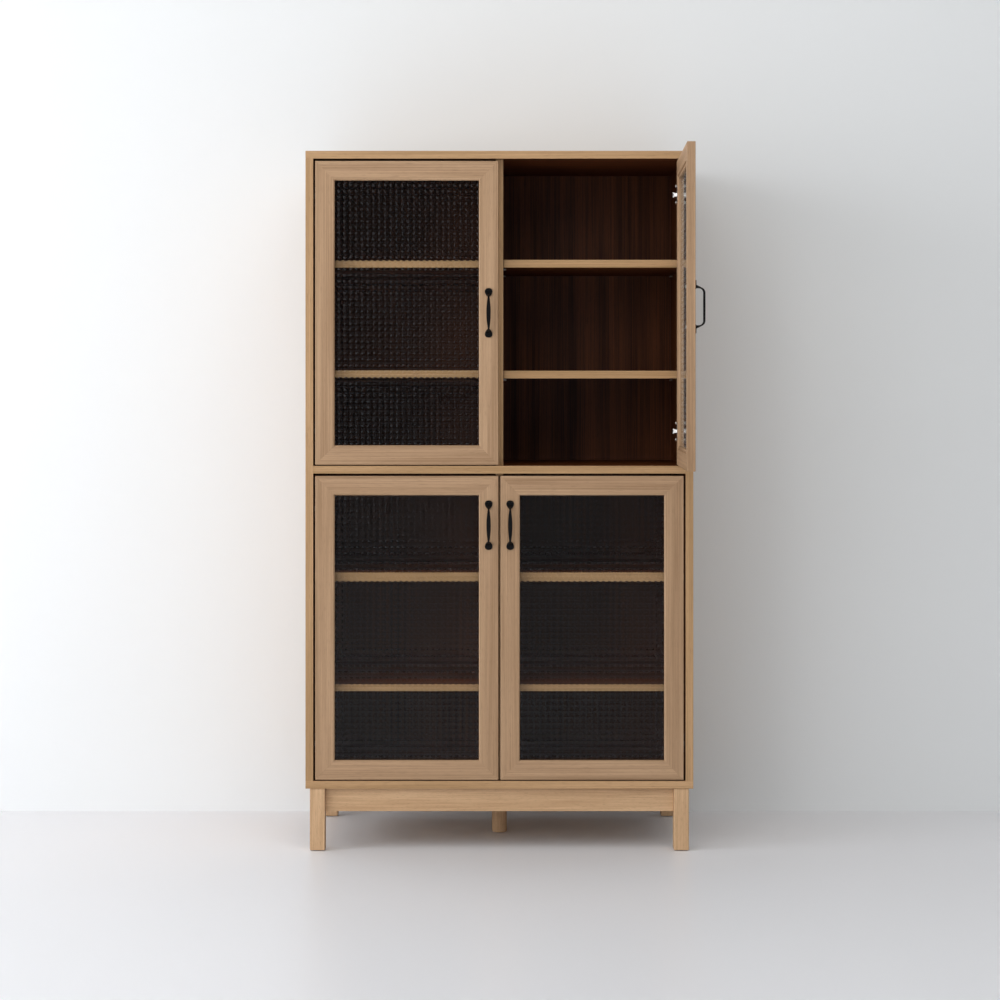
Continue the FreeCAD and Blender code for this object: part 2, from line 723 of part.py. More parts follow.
# Bow handles: X across, Y outward to minus from the door's face, Z along
handle = new_body("handle")
plates = sketch_on(handle, "XZ")
for end in (-1, 1):
    widest = "size.plate_width / 2"
    neck = "size.neck_width / 2"
    corners = [(neck, f"{HANDLE_TIP} - size.plate_taper_length"), (f"-{neck}", f"{HANDLE_TIP} - size.plate_taper_length")]
    left = [
        (f"-{widest}", f"{HANDLE_TIP} - size.plate_shoulder_drop"),
        (f"-{widest}", f"{HANDLE_TIP} - size.plate_corner_drop"),
        ("-size.plate_end / 2", HANDLE_TIP),
    ]
    right = [
        ("size.plate_end / 2", HANDLE_TIP),
        (widest, f"{HANDLE_TIP} - size.plate_corner_drop"),
        (widest, f"{HANDLE_TIP} - size.plate_shoulder_drop"),
    ]
    # Clockwise as drawn above the middle, so every arc bulges to its left there and to its right below.
    taper = ("size.plate_taper_radius", end)
    points = [
        corners[0],
        corners[1] + taper,
        left[0],
        left[1],
        left[2],
        right[0],
        right[1],
        right[2] + taper,
    ]
    outline(plates, [(point[0], f"({point[1]}) * {end}") + point[2:] for point in points])
pad(handle, plates, "size.plate_board", -1)

REACH_IN = "(size.handle_reach - size.grip_depth)"
FOOT_OUT = f"({FOOT} + size.foot_height / 2)"
FOOT_IN = f"({FOOT} - size.foot_height / 2)"


def quarter_radius(run, rise):
    """The radius of an arc that starts square to its rise and covers this run and rise."""
    return f"((({run})^2 + ({rise})^2) / (2 * ({run})))"


OUTER_RADIUS = quarter_radius("size.handle_reach - size.bow_shoulder_reach", f"{SHOULDER} - {STRAIGHT}")
INNER_RADIUS = quarter_radius(f"{REACH_IN} - size.bow_inner_reach", f"{FOOT_IN} - {STRAIGHT}")
bow = sketch_on(handle, "YZ")
outline(
    bow,
    [
        ("0", FOOT_OUT),
        ("-size.plate_board", FOOT_OUT),
        ("-size.bow_shoulder_reach", SHOULDER, OUTER_RADIUS, -1),
        ("-size.handle_reach", STRAIGHT),
        ("-size.handle_reach", f"-{STRAIGHT}", OUTER_RADIUS, -1),
        ("-size.bow_shoulder_reach", f"-{SHOULDER}"),
        ("-size.plate_board", f"-{FOOT_OUT}"),
        ("0", f"-{FOOT_OUT}"),
        ("0", f"-{FOOT_IN}"),
        ("-size.bow_inner_reach", f"-{FOOT_IN}", INNER_RADIUS, 1),
        (f"-{REACH_IN}", f"-{STRAIGHT}"),
        (f"-{REACH_IN}", STRAIGHT, INNER_RADIUS, 1),
        ("-size.bow_inner_reach", FOOT_IN),
        ("0", FOOT_IN),
    ],
)
pad(handle, bow, "size.grip_width", symmetric=True)

# The bow is cut from both sides to its front view: a spindle between two necks that flare to the feet.
SWELL = "((size.grip_width - size.neck_width) / 2)"
SWELL_RADIUS = quarter_radius(SWELL, NECK)
clear = "(size.grip_width / 2 + size.overrun)"
cheeks = sketch_on(handle, "XZ", "-(size.handle_reach + size.overrun)")
for side in (-1, 1):
    points = [
        (clear, f"-{HANDLE_TIP}"),
        (clear, HANDLE_TIP),
        ("size.foot_width / 2", HANDLE_TIP),
        ("size.foot_width / 2", FLARE),
        ("size.neck_width / 2", NECK, SWELL_RADIUS, side),
        ("size.neck_width / 2", f"-{NECK}"),
        ("size.foot_width / 2", f"-{FLARE}"),
        ("size.foot_width / 2", f"-{HANDLE_TIP}"),
    ]
    outline(cheeks, [(f"({point[0]}) * {side}", point[1]) + point[2:] for point in points])
pocket(handle, cheeks, "size.handle_reach + size.overrun - size.plate_board", 1)
threads = sketch_on(handle, "XZ")
for end in (-1, 1):
    flat_round(threads, "0", f"{FOOT} * {end}", "size.handle_screw / 2")
pocket(handle, threads, "size.handle_thread", -1)

handle_screw = fastener(
    "handle_screw",
    [
        ("size.handle_screw / 2", "-(size.door_board + size.handle_thread)", "0"),
        ("size.handle_screw_head / 2", "0", "size.handle_screw_head_board"),
    ],
)
for level, side in DOORS:
    name = f"{level}_{side}"
    here = door_place(level, side)
    x = f"{DOOR_FREE_EDGE} - size.frame_member / 2"
    group(f"{name}_handle", [copy_of(handle, place(x, "0", handle_height(level, side)))], here)
    screws = []
    for end in (-1, 1):
        z = f"{handle_height(level, side)} + {FOOT} * {end}"
        screws.append(copy_of(handle_screw, place(x, "size.door_board", z, turn("X", "-90"))))
    group(f"{name}_handle_screws", screws, here)

# Concealed hinges: where the link's two pins lie. The door turns about a fixed axis, and the pin on the arm is
# equally far from the pin in the cup with the door closed and with it open as the upper right one stands.
PIN_X = "(size.cup_pin_from_side - size.axis_from_side)"
PIN_Y = "(size.cup_pin_from_front - size.axis_from_front)"
PIN_RADIUS = f"sqrt({PIN_X}^2 + {PIN_Y}^2)"
HALF_OPENING = "(size.shown_open / 2)"
STRETCH = f"(cos({HALF_OPENING}) + size.link_reach / {PIN_RADIUS})"
ARM_PIN_X = f"(size.axis_from_side + ({PIN_X} * cos({HALF_OPENING}) + {PIN_Y} * sin({HALF_OPENING})) * {STRETCH})"
ARM_PIN_Y = f"(size.axis_from_front + ({PIN_Y} * cos({HALF_OPENING}) - {PIN_X} * sin({HALF_OPENING})) * {STRETCH})"
HALF_CHORD = f"({PIN_RADIUS} * sin({HALF_OPENING}))"
LINK_LENGTH = f"sqrt({HALF_CHORD}^2 + size.link_reach^2)"
HALF_SWING = f"atan({HALF_CHORD} / size.link_reach)"
LINK_CLOSED = f"(180 deg + atan2({PIN_Y}; {PIN_X}) - {HALF_OPENING} * 1 deg - {HALF_SWING})"
LINK_OPEN = f"({LINK_CLOSED} + 2 * {HALF_SWING})"

# Hinge arm: a cranked channel with a forked nose, drawn from above with X off the side panel and Y to the back
ARM_LOW = "(size.arm_top - size.arm_skirt)"
NOSE_LEFT = f"({ARM_PIN_X} - size.arm_nose_radius)"
NOSE_RIGHT = f"({ARM_PIN_X} + size.arm_nose_radius)"
NOSE_BELOW = f"({ARM_PIN_Y} - size.arm_nose_radius - size.overrun)"
hinge_arm = new_body("hinge_arm")
arm_side = sketch_on(hinge_arm, "XY")
outline(
    arm_side,
    [
        *flat_corners(ARM_PIN_X, ARM_PIN_Y, "size.arm_nose_radius", FLATS // 2, FLATS - 1),
        (NOSE_RIGHT, "size.crank_front"),
        ("size.arm_top", "size.crank_back"),
        ("size.arm_top", "size.arm_rear"),
        (ARM_LOW, "size.arm_rear"),
        (ARM_LOW, "size.crank_back - size.crank_skew"),
        (NOSE_LEFT, "size.crank_front - size.crank_skew"),
    ],
)
pad(hinge_arm, arm_side, "size.arm_width", symmetric=True)
channel = sketch_on(hinge_arm, "XY")
outline(
    channel,
    [
        (f"{NOSE_RIGHT} + size.overrun", NOSE_BELOW),
        (f"{NOSE_RIGHT} + size.overrun", "size.fork_end"),
        (f"{NOSE_RIGHT} - size.arm_sheet", "size.fork_end"),
        (f"{NOSE_RIGHT} - size.arm_sheet", "size.crank_front - size.arm_sheet / 2"),
        ("size.arm_top - size.arm_sheet", "size.crank_back - size.arm_sheet / 2"),
        ("size.arm_top - size.arm_sheet", "size.arm_rear + size.overrun"),
        (f"{ARM_LOW} - size.overrun", "size.arm_rear + size.overrun"),
        (f"{ARM_LOW} - size.overrun", NOSE_BELOW),
    ],
)
pocket(hinge_arm, channel, "size.arm_width - 2 * size.arm_sheet", symmetric=True)
arm_pin = sketch_on(hinge_arm, "XY")
flat_round(arm_pin, ARM_PIN_X, ARM_PIN_Y, "size.arm_pin / 2 - size.arm_pin_play")
pad(hinge_arm, arm_pin, "size.arm_width", symmetric=True)

# Mounting plate: a cross on the side panel with a tower that fills the arm's channel
TOWER_HALF = "(size.arm_width / 2 - size.arm_sheet - size.tower_play)"
mounting_plate = new_body("mounting_plate")
plate_parts = [
    ("size.wing_place - size.wing_width / 2", "size.wing_place + size.wing_width / 2", "size.wing_length / 2",
     "size.base_board"),
    ("size.base_front", "size.arm_rear", "size.base_width / 2", "size.base_board"),
    ("size.tower_front", "size.tower_rear", TOWER_HALF, "size.arm_top - size.arm_sheet"),
]
for near, far, half, height in plate_parts:
    drawing = sketch_on(mounting_plate, "YZ")
    rectangle(drawing, near, f"-{half}", far, half)
    pad(mounting_plate, drawing, height)
plate_holes = sketch_on(mounting_plate, "YZ")
for end in (-1, 1):
    flat_round(plate_holes, "size.wing_place", f"size.plate_screw_spacing / 2 * {end}", "size.plate_screw / 2")
pocket(mounting_plate, plate_holes, "size.base_board + size.overrun", 1)

plate_screw = fastener(
    "plate_screw",
    [
        ("size.plate_screw / 2", "-(size.base_board + size.plate_screw_in_panel)", "0"),
        ("size.plate_screw_head / 2", "0", "size.plate_screw_head_board"),
    ],
)

# Hinge cup: X away from the door's hinge edge, Z out of the door's back, origin at the cup's centre there
hinge_cup = new_body("hinge_cup")
cup_wall = sketch_on(hinge_cup, "XY", "-size.cup_depth")
flat_round(cup_wall, "0", "0", "size.cup / 2", CUP_FLATS)
pad(hinge_cup, cup_wall, "size.cup_depth + size.cup_flange_board")
flange = sketch_on(hinge_cup, "XY")
flange_end = "(size.cup_flange_length / 2 - size.cup_flange_width / 2)"
outline(
    flange,
    [
        *flat_corners("size.cup_flange_offset", flange_end, "size.cup_flange_width / 2", 0, FLATS // 2 - 1),
        *flat_corners("size.cup_flange_offset", f"-{flange_end}", "size.cup_flange_width / 2", FLATS // 2, FLATS - 1),
    ],
)
pad(hinge_cup, flange, "size.cup_flange_board")
hollow = sketch_on(hinge_cup, "XY", "size.cup_flange_board")
flat_round(hollow, "0", "0", "size.cup / 2 - size.cup_sheet", CUP_FLATS)
pocket(hinge_cup, hollow, "size.cup_flange_board + size.cup_depth - size.cup_sheet", -1)
mouth = sketch_on(hinge_cup, "XY", "size.cup_flange_board")
rectangle(mouth, "-(size.cup / 2 + size.overrun)", "-size.cup_mouth / 2", "-size.cup / 4", "size.cup_mouth / 2")
pocket(hinge_cup, mouth, "size.cup_mouth_depth", -1)
ear_inner = "(size.link_pin_length / 2 + size.ear_play)"
ear_outer = f"({ear_inner} + size.ear_board)"
ear_middle = f"(size.cup_pin_from_side - size.door_side_gap - {CUP_CENTRE})"
in_wall = f"sqrt(((size.cup - size.cup_sheet) / 2)^2 - {ear_outer}^2)"
ears = sketch_on(hinge_cup, "XY", "-size.cup_depth")
for end in (-1, 1):
    inner, outer = f"{ear_inner} * {end}", f"{ear_outer} * {end}"
    rectangle(ears, f"-{in_wall}", inner, f"{ear_middle} + size.ear_length / 2", outer)
pad(hinge_cup, ears, "size.cup_depth - size.ear_drop")
heads = sketch_on(hinge_cup, "XY", "size.cup_flange_board")
for end in (-1, 1):
    flat_round(heads, "size.cup_flange_offset", f"size.cup_screw_spacing / 2 * {end}", "size.cup_screw_head / 2")
pad(hinge_cup, heads, "size.cup_screw_head_board")

# Hinge link: two cheeks and a web, with an eye on the arm's pin and a pin between the cup's ears, X along it
LINK_EDGE = "(size.link_height / 2)"
hinge_link = new_body("hinge_link")
link_side = sketch_on(hinge_link, "XY")
outline(
    link_side,
    [
        *flat_corners(LINK_LENGTH, "0", LINK_EDGE, -FLATS // 4, FLATS // 4 - 1),
        *flat_corners("0", "0", LINK_EDGE, FLATS // 4, FLATS * 3 // 4 - 1),
    ],
)
pad(hinge_link, link_side, "size.link_width", symmetric=True)
gap = sketch_on(hinge_link, "XY")
link_clear = f"({LINK_EDGE} + size.overrun)"
outline(
    gap,
    [
        (f"-{link_clear}", f"-{link_clear}"),
        (f"{LINK_LENGTH} + {link_clear}", f"-{link_clear}"),
        (f"{LINK_LENGTH} + {link_clear}", link_clear),
        (LINK_LENGTH, link_clear),
        (LINK_LENGTH, f"{LINK_EDGE} - size.link_web"),
        ("size.link_web_start", f"{LINK_EDGE} - size.link_web"),
        ("size.link_web_start", link_clear),
        (f"-{link_clear}", link_clear),
    ],
)
pocket(hinge_link, gap, "size.link_width - 2 * size.link_sheet", symmetric=True)
eye = sketch_on(hinge_link, "XY")
flat_round(eye, "0", "0", "size.arm_pin / 2 + size.arm_pin_play")
pocket(hinge_link, eye, "size.link_width + size.overrun", symmetric=True)
link_pin = sketch_on(hinge_link, "XY")
flat_round(link_pin, LINK_LENGTH, "0", "size.link_pin / 2")
pad(hinge_link, link_pin, "size.link_pin_length", symmetric=True)

arms, plates_on_sides, plate_screws = [], [], []
for level, side in DOORS:
    name = f"{level}_{side}"
    closed = door_corner(level, side)
    cups, links = [], []
    for height in HINGE_HEIGHTS:
        arms.append(copy_of(hinge_arm, f"{closed} * {place(z=height)}"))
        plates_on_sides.append(copy_of(mounting_plate, f"{closed} * {place(z=height)}"))
        for end in (-1, 1):
            z = f"{height} + size.plate_screw_spacing / 2 * {end}"
            spot = place("size.base_board", "size.wing_place", z, turn("Y", "90"))
            plate_screws.append(copy_of(plate_screw, f"{closed} * {spot}"))
        cup_place = place(f"size.door_side_gap + {CUP_CENTRE}", "size.door_board", height, turn("X", "-90"))
        cups.append(copy_of(hinge_cup, cup_place))
        swing = LINK_OPEN if (level, side) == OPEN_DOOR else LINK_CLOSED
        links.append(copy_of(hinge_link, place(ARM_PIN_X, ARM_PIN_Y, height, turn("Z", swing))))
    group(f"{name}_hinge_cups", cups, door_place(level, side))
    group(f"{name}_hinge_links", links, closed)
group("hinge_arms", arms)
group("hinge_mounting_plates", plates_on_sides)
group("hinge_plate_screws", plate_screws)

doc.recompute()
for item in doc.Objects:
    if "Invalid" in item.State or "Error" in item.State:
        raise RuntimeError(f"{item.Label} did not compute: {item.State}")
    if item.TypeId == "PartDesign::Pocket" and item.Shape.Volume >= item.BaseFeature.Shape.Volume:
        raise RuntimeError(f"{item.Label} cuts nothing")
for item in nodes:
    if item.Shape.isNull() or not item.Shape.isValid():
        raise RuntimeError(f"{item.Label} has no valid shape")

os.makedirs("parts", exist_ok=True)
for item in nodes:
    item.Shape.exportStep(f"parts/{item.Label}.step")
print(len(nodes), "nodes,", sum(len(item.Shape.Solids) for item in nodes), "solids")
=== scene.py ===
"""Dresses the kitchen cabinet: boards, shelves, leg frame, glazed doors, handles and hinges, in a studio.

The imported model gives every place. Lengths are in metres, written as millimetres times MM. A name that ends
in _mm holds bare millimetres.
"""

import logging
import math
from collections.abc import Callable, Iterator
from contextlib import contextmanager
from dataclasses import dataclass, field
from enum import Enum
from itertools import product

import bpy
from mathutils import Matrix, Vector


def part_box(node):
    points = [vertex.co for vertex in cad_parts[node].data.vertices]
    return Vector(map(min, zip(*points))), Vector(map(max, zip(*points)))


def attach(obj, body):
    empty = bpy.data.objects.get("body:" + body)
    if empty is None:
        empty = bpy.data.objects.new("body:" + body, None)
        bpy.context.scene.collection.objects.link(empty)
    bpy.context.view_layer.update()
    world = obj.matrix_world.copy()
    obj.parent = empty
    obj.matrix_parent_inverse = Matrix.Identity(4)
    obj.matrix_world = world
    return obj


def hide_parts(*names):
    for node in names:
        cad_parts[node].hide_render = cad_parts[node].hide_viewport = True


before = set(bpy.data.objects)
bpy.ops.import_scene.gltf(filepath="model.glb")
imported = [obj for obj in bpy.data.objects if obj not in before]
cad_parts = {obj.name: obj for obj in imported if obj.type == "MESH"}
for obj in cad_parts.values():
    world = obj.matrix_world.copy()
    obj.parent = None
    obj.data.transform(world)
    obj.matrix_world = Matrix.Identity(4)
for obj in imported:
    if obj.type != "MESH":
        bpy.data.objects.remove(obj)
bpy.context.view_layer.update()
LOG = logging.getLogger("cabinet")
MM = 0.001
NEAR = 0.1 * MM  # An edge closer than this to a line of a door frame lies on it.
TOUCHING = 0.01 * MM  # Two points closer than this are one.
FACING = 0.7  # A normal with more than this along an axis faces that way.
STRAIGHT = 0.99  # An edge with more than this along an axis runs along it.
SHARP = math.radians(30)  # Sharper edges are rounded, and shallower ones are shaded smooth.
QUARTER = math.pi / 2
SIDES = (-1, 1)


class Axis(Enum):
    """A world axis, by its place in a vector."""

    X = 0
    Y = 1
    Z = 2


class Level(Enum):
    """One of the two compartments, by the height of its doors' lower edges."""

    LOWER = 165.5 * MM
    UPPER = 896.5 * MM


class Side(Enum):
    """The side of the cabinet that a door hangs on, by its sign on X."""

    LEFT = -1
    RIGHT = 1


# Mesh tools


def only(piece: bpy.types.Object) -> bpy.types.Object:
    """Selects this piece alone, because the loaded nodes come in selected.

    Args:
        piece: The piece to select and make active.

    Returns:
        The same piece.
    """
    bpy.ops.object.select_all(action="DESELECT")
    piece.select_set(True)
    bpy.context.view_layer.objects.active = piece
    return piece


@contextmanager
def editing(piece: bpy.types.Object, kind: str = "FACE", whole: bool = True) -> Iterator[None]:
    """Opens a piece in edit mode for the operators inside, and leaves edit mode after them.

    Args:
        piece: The mesh to edit.
        kind: What is selected: VERT, EDGE or FACE.
        whole: True to select all of it, False to keep what was chosen.

    Returns:
        A context that holds the piece in edit mode.
    """
    only(piece)
    bpy.ops.object.mode_set(mode="EDIT")
    bpy.ops.mesh.select_mode(type=kind)
    if whole:
        bpy.ops.mesh.select_all(action="SELECT")
    yield
    bpy.ops.object.mode_set(mode="OBJECT")


def choose(piece: bpy.types.Object, kind: str, test: Callable[[Vector, Vector], bool]) -> None:
    """Selects the faces, edges or vertices that pass a test, and nothing else.

    Args:
        piece: The mesh, in object mode.
        kind: VERT, EDGE or FACE.
        test: Takes the part's centre and its normal, or an edge's direction, and says whether it is chosen.
    """
    with editing(piece, kind, whole=False):
        bpy.ops.mesh.select_all(action="DESELECT")
    mesh = piece.data
    if kind == "FACE":
        parts = [(face, face.center.copy(), face.normal.copy()) for face in mesh.polygons]
    elif kind == "EDGE":
        ends = [(edge, *(mesh.vertices[index].co for index in edge.vertices)) for edge in mesh.edges]
        parts = [(edge, (a + b) / 2, (b - a).normalized()) for edge, a, b in ends]
    else:
        parts = [(vertex, vertex.co.copy(), vertex.normal.copy()) for vertex in mesh.vertices]
    for part, centre, normal in parts:
        if test(centre, normal):
            part.select = True


def settle(piece: bpy.types.Object) -> bpy.types.Object:
    """Puts a piece's place, turn and size into its mesh.

    Args:
        piece: The piece, wherever it stands.

    Returns:
        The same piece, at the origin.
    """
    only(piece)
    bpy.ops.object.transform_apply(location=True, rotation=True, scale=True)
    return piece


def corners(node: str) -> tuple[Vector, Vector]:
    """Gives the lowest and the highest corner of the box round a CAD node."""
    low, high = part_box(node)
    return Vector(low), Vector(high)


def block(name: str, low: Vector, high: Vector) -> bpy.types.Object:
    """Adds a plain block between two corners, as a start for a board or a cutter.

    Args:
        name: The piece's name.
        low: Its lowest corner.
        high: Its highest corner.

    Returns:
        The block.
    """
    bpy.ops.object.select_all(action="DESELECT")
    bpy.ops.mesh.primitive_cube_add(size=1, location=(low + high) / 2, scale=high - low)
    piece = bpy.context.object
    piece.name = name
    return settle(piece)


def rod(name: str, radius: float, low: float, high: float, sides: int) -> bpy.types.Object:
    """Adds an upright rod at the origin, as a start for a pin, a post or a cutter.

    Args:
        name: The piece's name.
        radius: The rod's radius.
        low: The height of its foot.
        high: The height of its top.
        sides: How many flat sides it has.

    Returns:
        The rod.
    """
    bpy.ops.object.select_all(action="DESELECT")
    middle = (0, 0, (low + high) / 2)
    bpy.ops.mesh.primitive_cylinder_add(vertices=sides, radius=radius, depth=high - low, location=middle)
    piece = bpy.context.object
    piece.name = name
    return settle(piece)


def shade(piece: bpy.types.Object) -> bpy.types.Object:
    """Shades a piece smooth across shallow edges, with its large faces kept flat.

    Args:
        piece: The mesh to shade.

    Returns:
        The same piece.
    """
    only(piece)
    bpy.ops.object.shade_smooth_by_angle(angle=SHARP)
    even = piece.modifiers.new("even", "WEIGHTED_NORMAL")
    even.keep_sharp = True
    bpy.ops.object.modifier_apply(modifier="even")
    return piece


def round_edges(piece: bpy.types.Object, width: float, segments: int = 2) -> bpy.types.Object:
    """Rounds every sharp edge by an applied Bevel modifier, and shades the piece smooth.

    Args:
        piece: The mesh to round.
        width: The width of the rounding, in metres.
        segments: Its number of steps.

    Returns:
        The same piece.
    """
    bevel = piece.modifiers.new("rounding", "BEVEL")
    bevel.width = width
    bevel.segments = segments
    bevel.limit_method = "ANGLE"
    bevel.angle_limit = SHARP
    only(piece)
    bpy.ops.object.modifier_apply(modifier="rounding")
    return shade(piece)


def cut(piece: bpy.types.Object, tool: bpy.types.Object) -> bpy.types.Object:
    """Takes a tool's volume out of a piece and deletes the tool.

    Args:
        piece: The mesh to cut.
        tool: The closed mesh that is taken away.

    Returns:
        The cut piece.
    """
    boolean = piece.modifiers.new("cut", "BOOLEAN")
    boolean.operation = "DIFFERENCE"
    boolean.solver = "EXACT"
    boolean.object = tool
    only(piece)
    bpy.ops.object.modifier_apply(modifier="cut")
    bpy.data.objects.remove(tool)
    return piece


def join(name: str, parts: list[bpy.types.Object]) -> bpy.types.Object:
    """Joins meshes into one piece.

    Args:
        name: The name of the joined piece.
        parts: The meshes, of which the first keeps its materials.

    Returns:
        The joined piece.
    """
    only(parts[0])
    for part in parts:
        part.select_set(True)
    bpy.ops.object.join()
    parts[0].name = name
    return parts[0]


def copy_at(master: bpy.types.Object, name: str, place: Matrix) -> bpy.types.Object:
    """Copies a piece, with a mesh of its own, to a place.

    Args:
        master: The piece to copy.
        name: The copy's name.
        place: The matrix that takes the master to its place.

    Returns:
        The copy, with its place in its mesh.
    """
    piece = bpy.data.objects.new(name, master.data.copy())
    bpy.context.collection.objects.link(piece)
    piece.matrix_world = place
    return settle(piece)


def drop(*masters: bpy.types.Object) -> None:
    """Deletes masters whose copies are all made."""
    for master in masters:
        bpy.data.objects.remove(master)


def copy_of_node(node: str) -> bpy.types.Object:
    """Copies a CAD node as a clean mesh, its triangles merged into whole faces.

    Args:
        node: The node's name.

    Returns:
        The copy.
    """
    piece = bpy.data.objects.new(f"{node}_piece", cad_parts[node].data.copy())
    bpy.context.collection.objects.link(piece)
    with editing(piece):
        bpy.ops.mesh.remove_doubles(threshold=0.001 * MM)
        bpy.ops.mesh.dissolve_limited(angle_limit=math.radians(0.5))
        bpy.ops.mesh.normals_make_consistent(inside=False)
    return piece


def lay_grain(piece: bpy.types.Object, along: Axis, number: int, step: tuple[float, float]) -> None:
    """Stores where each point lies on the printed sheet: along the grain, across it and through the board.

    Args:
        piece: The board.
        along: The axis that the grain follows.
        number: The board's number.
        step: How far each board lies from the one before, along and across, so that no two look alike.
    """
    others = [axis.value for axis in Axis if axis is not along]
    shift = Vector((number * step[0], number * step[1], 0))
    grain = piece.data.attributes.new("grain", "FLOAT_VECTOR", "POINT")
    for vertex, item in zip(piece.data.vertices, grain.data):
        place = vertex.co
        item.vector = Vector((place[along.value], place[others[0]], place[others[1]])) + shift


def shift_grain(piece: bpy.types.Object, number: int, step: tuple[float, float]) -> None:
    """Moves a copied board to another place on the printed sheet.

    Args:
        piece: The board, its grain already laid.
        number: The copy's number.
        step: How far each copy lies from the one before, along and across the sheet.
    """
    shift = Vector((number * step[0], number * step[1], 0))
    for item in piece.data.attributes["grain"].data:
        item.vector = Vector(item.vector) + shift


# Finishes


def linear(colour: str) -> tuple[float, float, float, float]:
    """Turns an sRGB colour into linear light.

    Args:
        colour: The colour as hex, such as #B79771.

    Returns:
        Its linear red, green, blue and alpha.
    """
    parts = [int(colour[index : index + 2], 16) / 255 for index in (1, 3, 5)]
    values = [part / 12.92 if part <= 0.04045 else ((part + 0.055) / 1.055) ** 2.4 for part in parts]
    return (*values, 1.0)


def add_node(
    tree: bpy.types.NodeTree, kind: str, inputs: dict[str | int, object] | None = None, **settings: object
) -> bpy.types.Node:
    """Adds one node with its settings, values and links.

    Args:
        tree: The node tree.
        kind: The node's type name.
        inputs: For each input, by name or number, a value or the output socket to link it to.
        **settings: The node's own properties.

    Returns:
        The new node.
    """
    node = tree.nodes.new(kind)
    for name, value in settings.items():
        setattr(node, name, value)
    for name, value in (inputs or {}).items():
        if isinstance(value, bpy.types.NodeSocket):
            tree.links.new(value, node.inputs[name])
        else:
            node.inputs[name].default_value = value
    return node


def new_material(name: str) -> tuple[bpy.types.Material, bpy.types.NodeTree, bpy.types.Node]:
    """Makes an empty material.

    Args:
        name: The real material's name.

    Returns:
        The material, its node tree and its output node.
    """
    material = bpy.data.materials.new(name)
    material.use_nodes = True
    tree = material.node_tree
    tree.nodes.clear()
    return material, tree, tree.nodes.new("ShaderNodeOutputMaterial")


def carries_light(tree: bpy.types.NodeTree) -> bpy.types.NodeSocket:
    """Tells the rays that carry lamp light to a surface from those that show a picture.

    Args:
        tree: The material's node tree.

    Returns:
        A value that is 1 for shadow and diffuse rays, and 0 for all others.
    """
    rays = add_node(tree, "ShaderNodeLightPath")
    kinds = {0: rays.outputs["Is Shadow Ray"], 1: rays.outputs["Is Diffuse Ray"]}
    return add_node(tree, "ShaderNodeMath", kinds, operation="MAXIMUM").outputs[0]


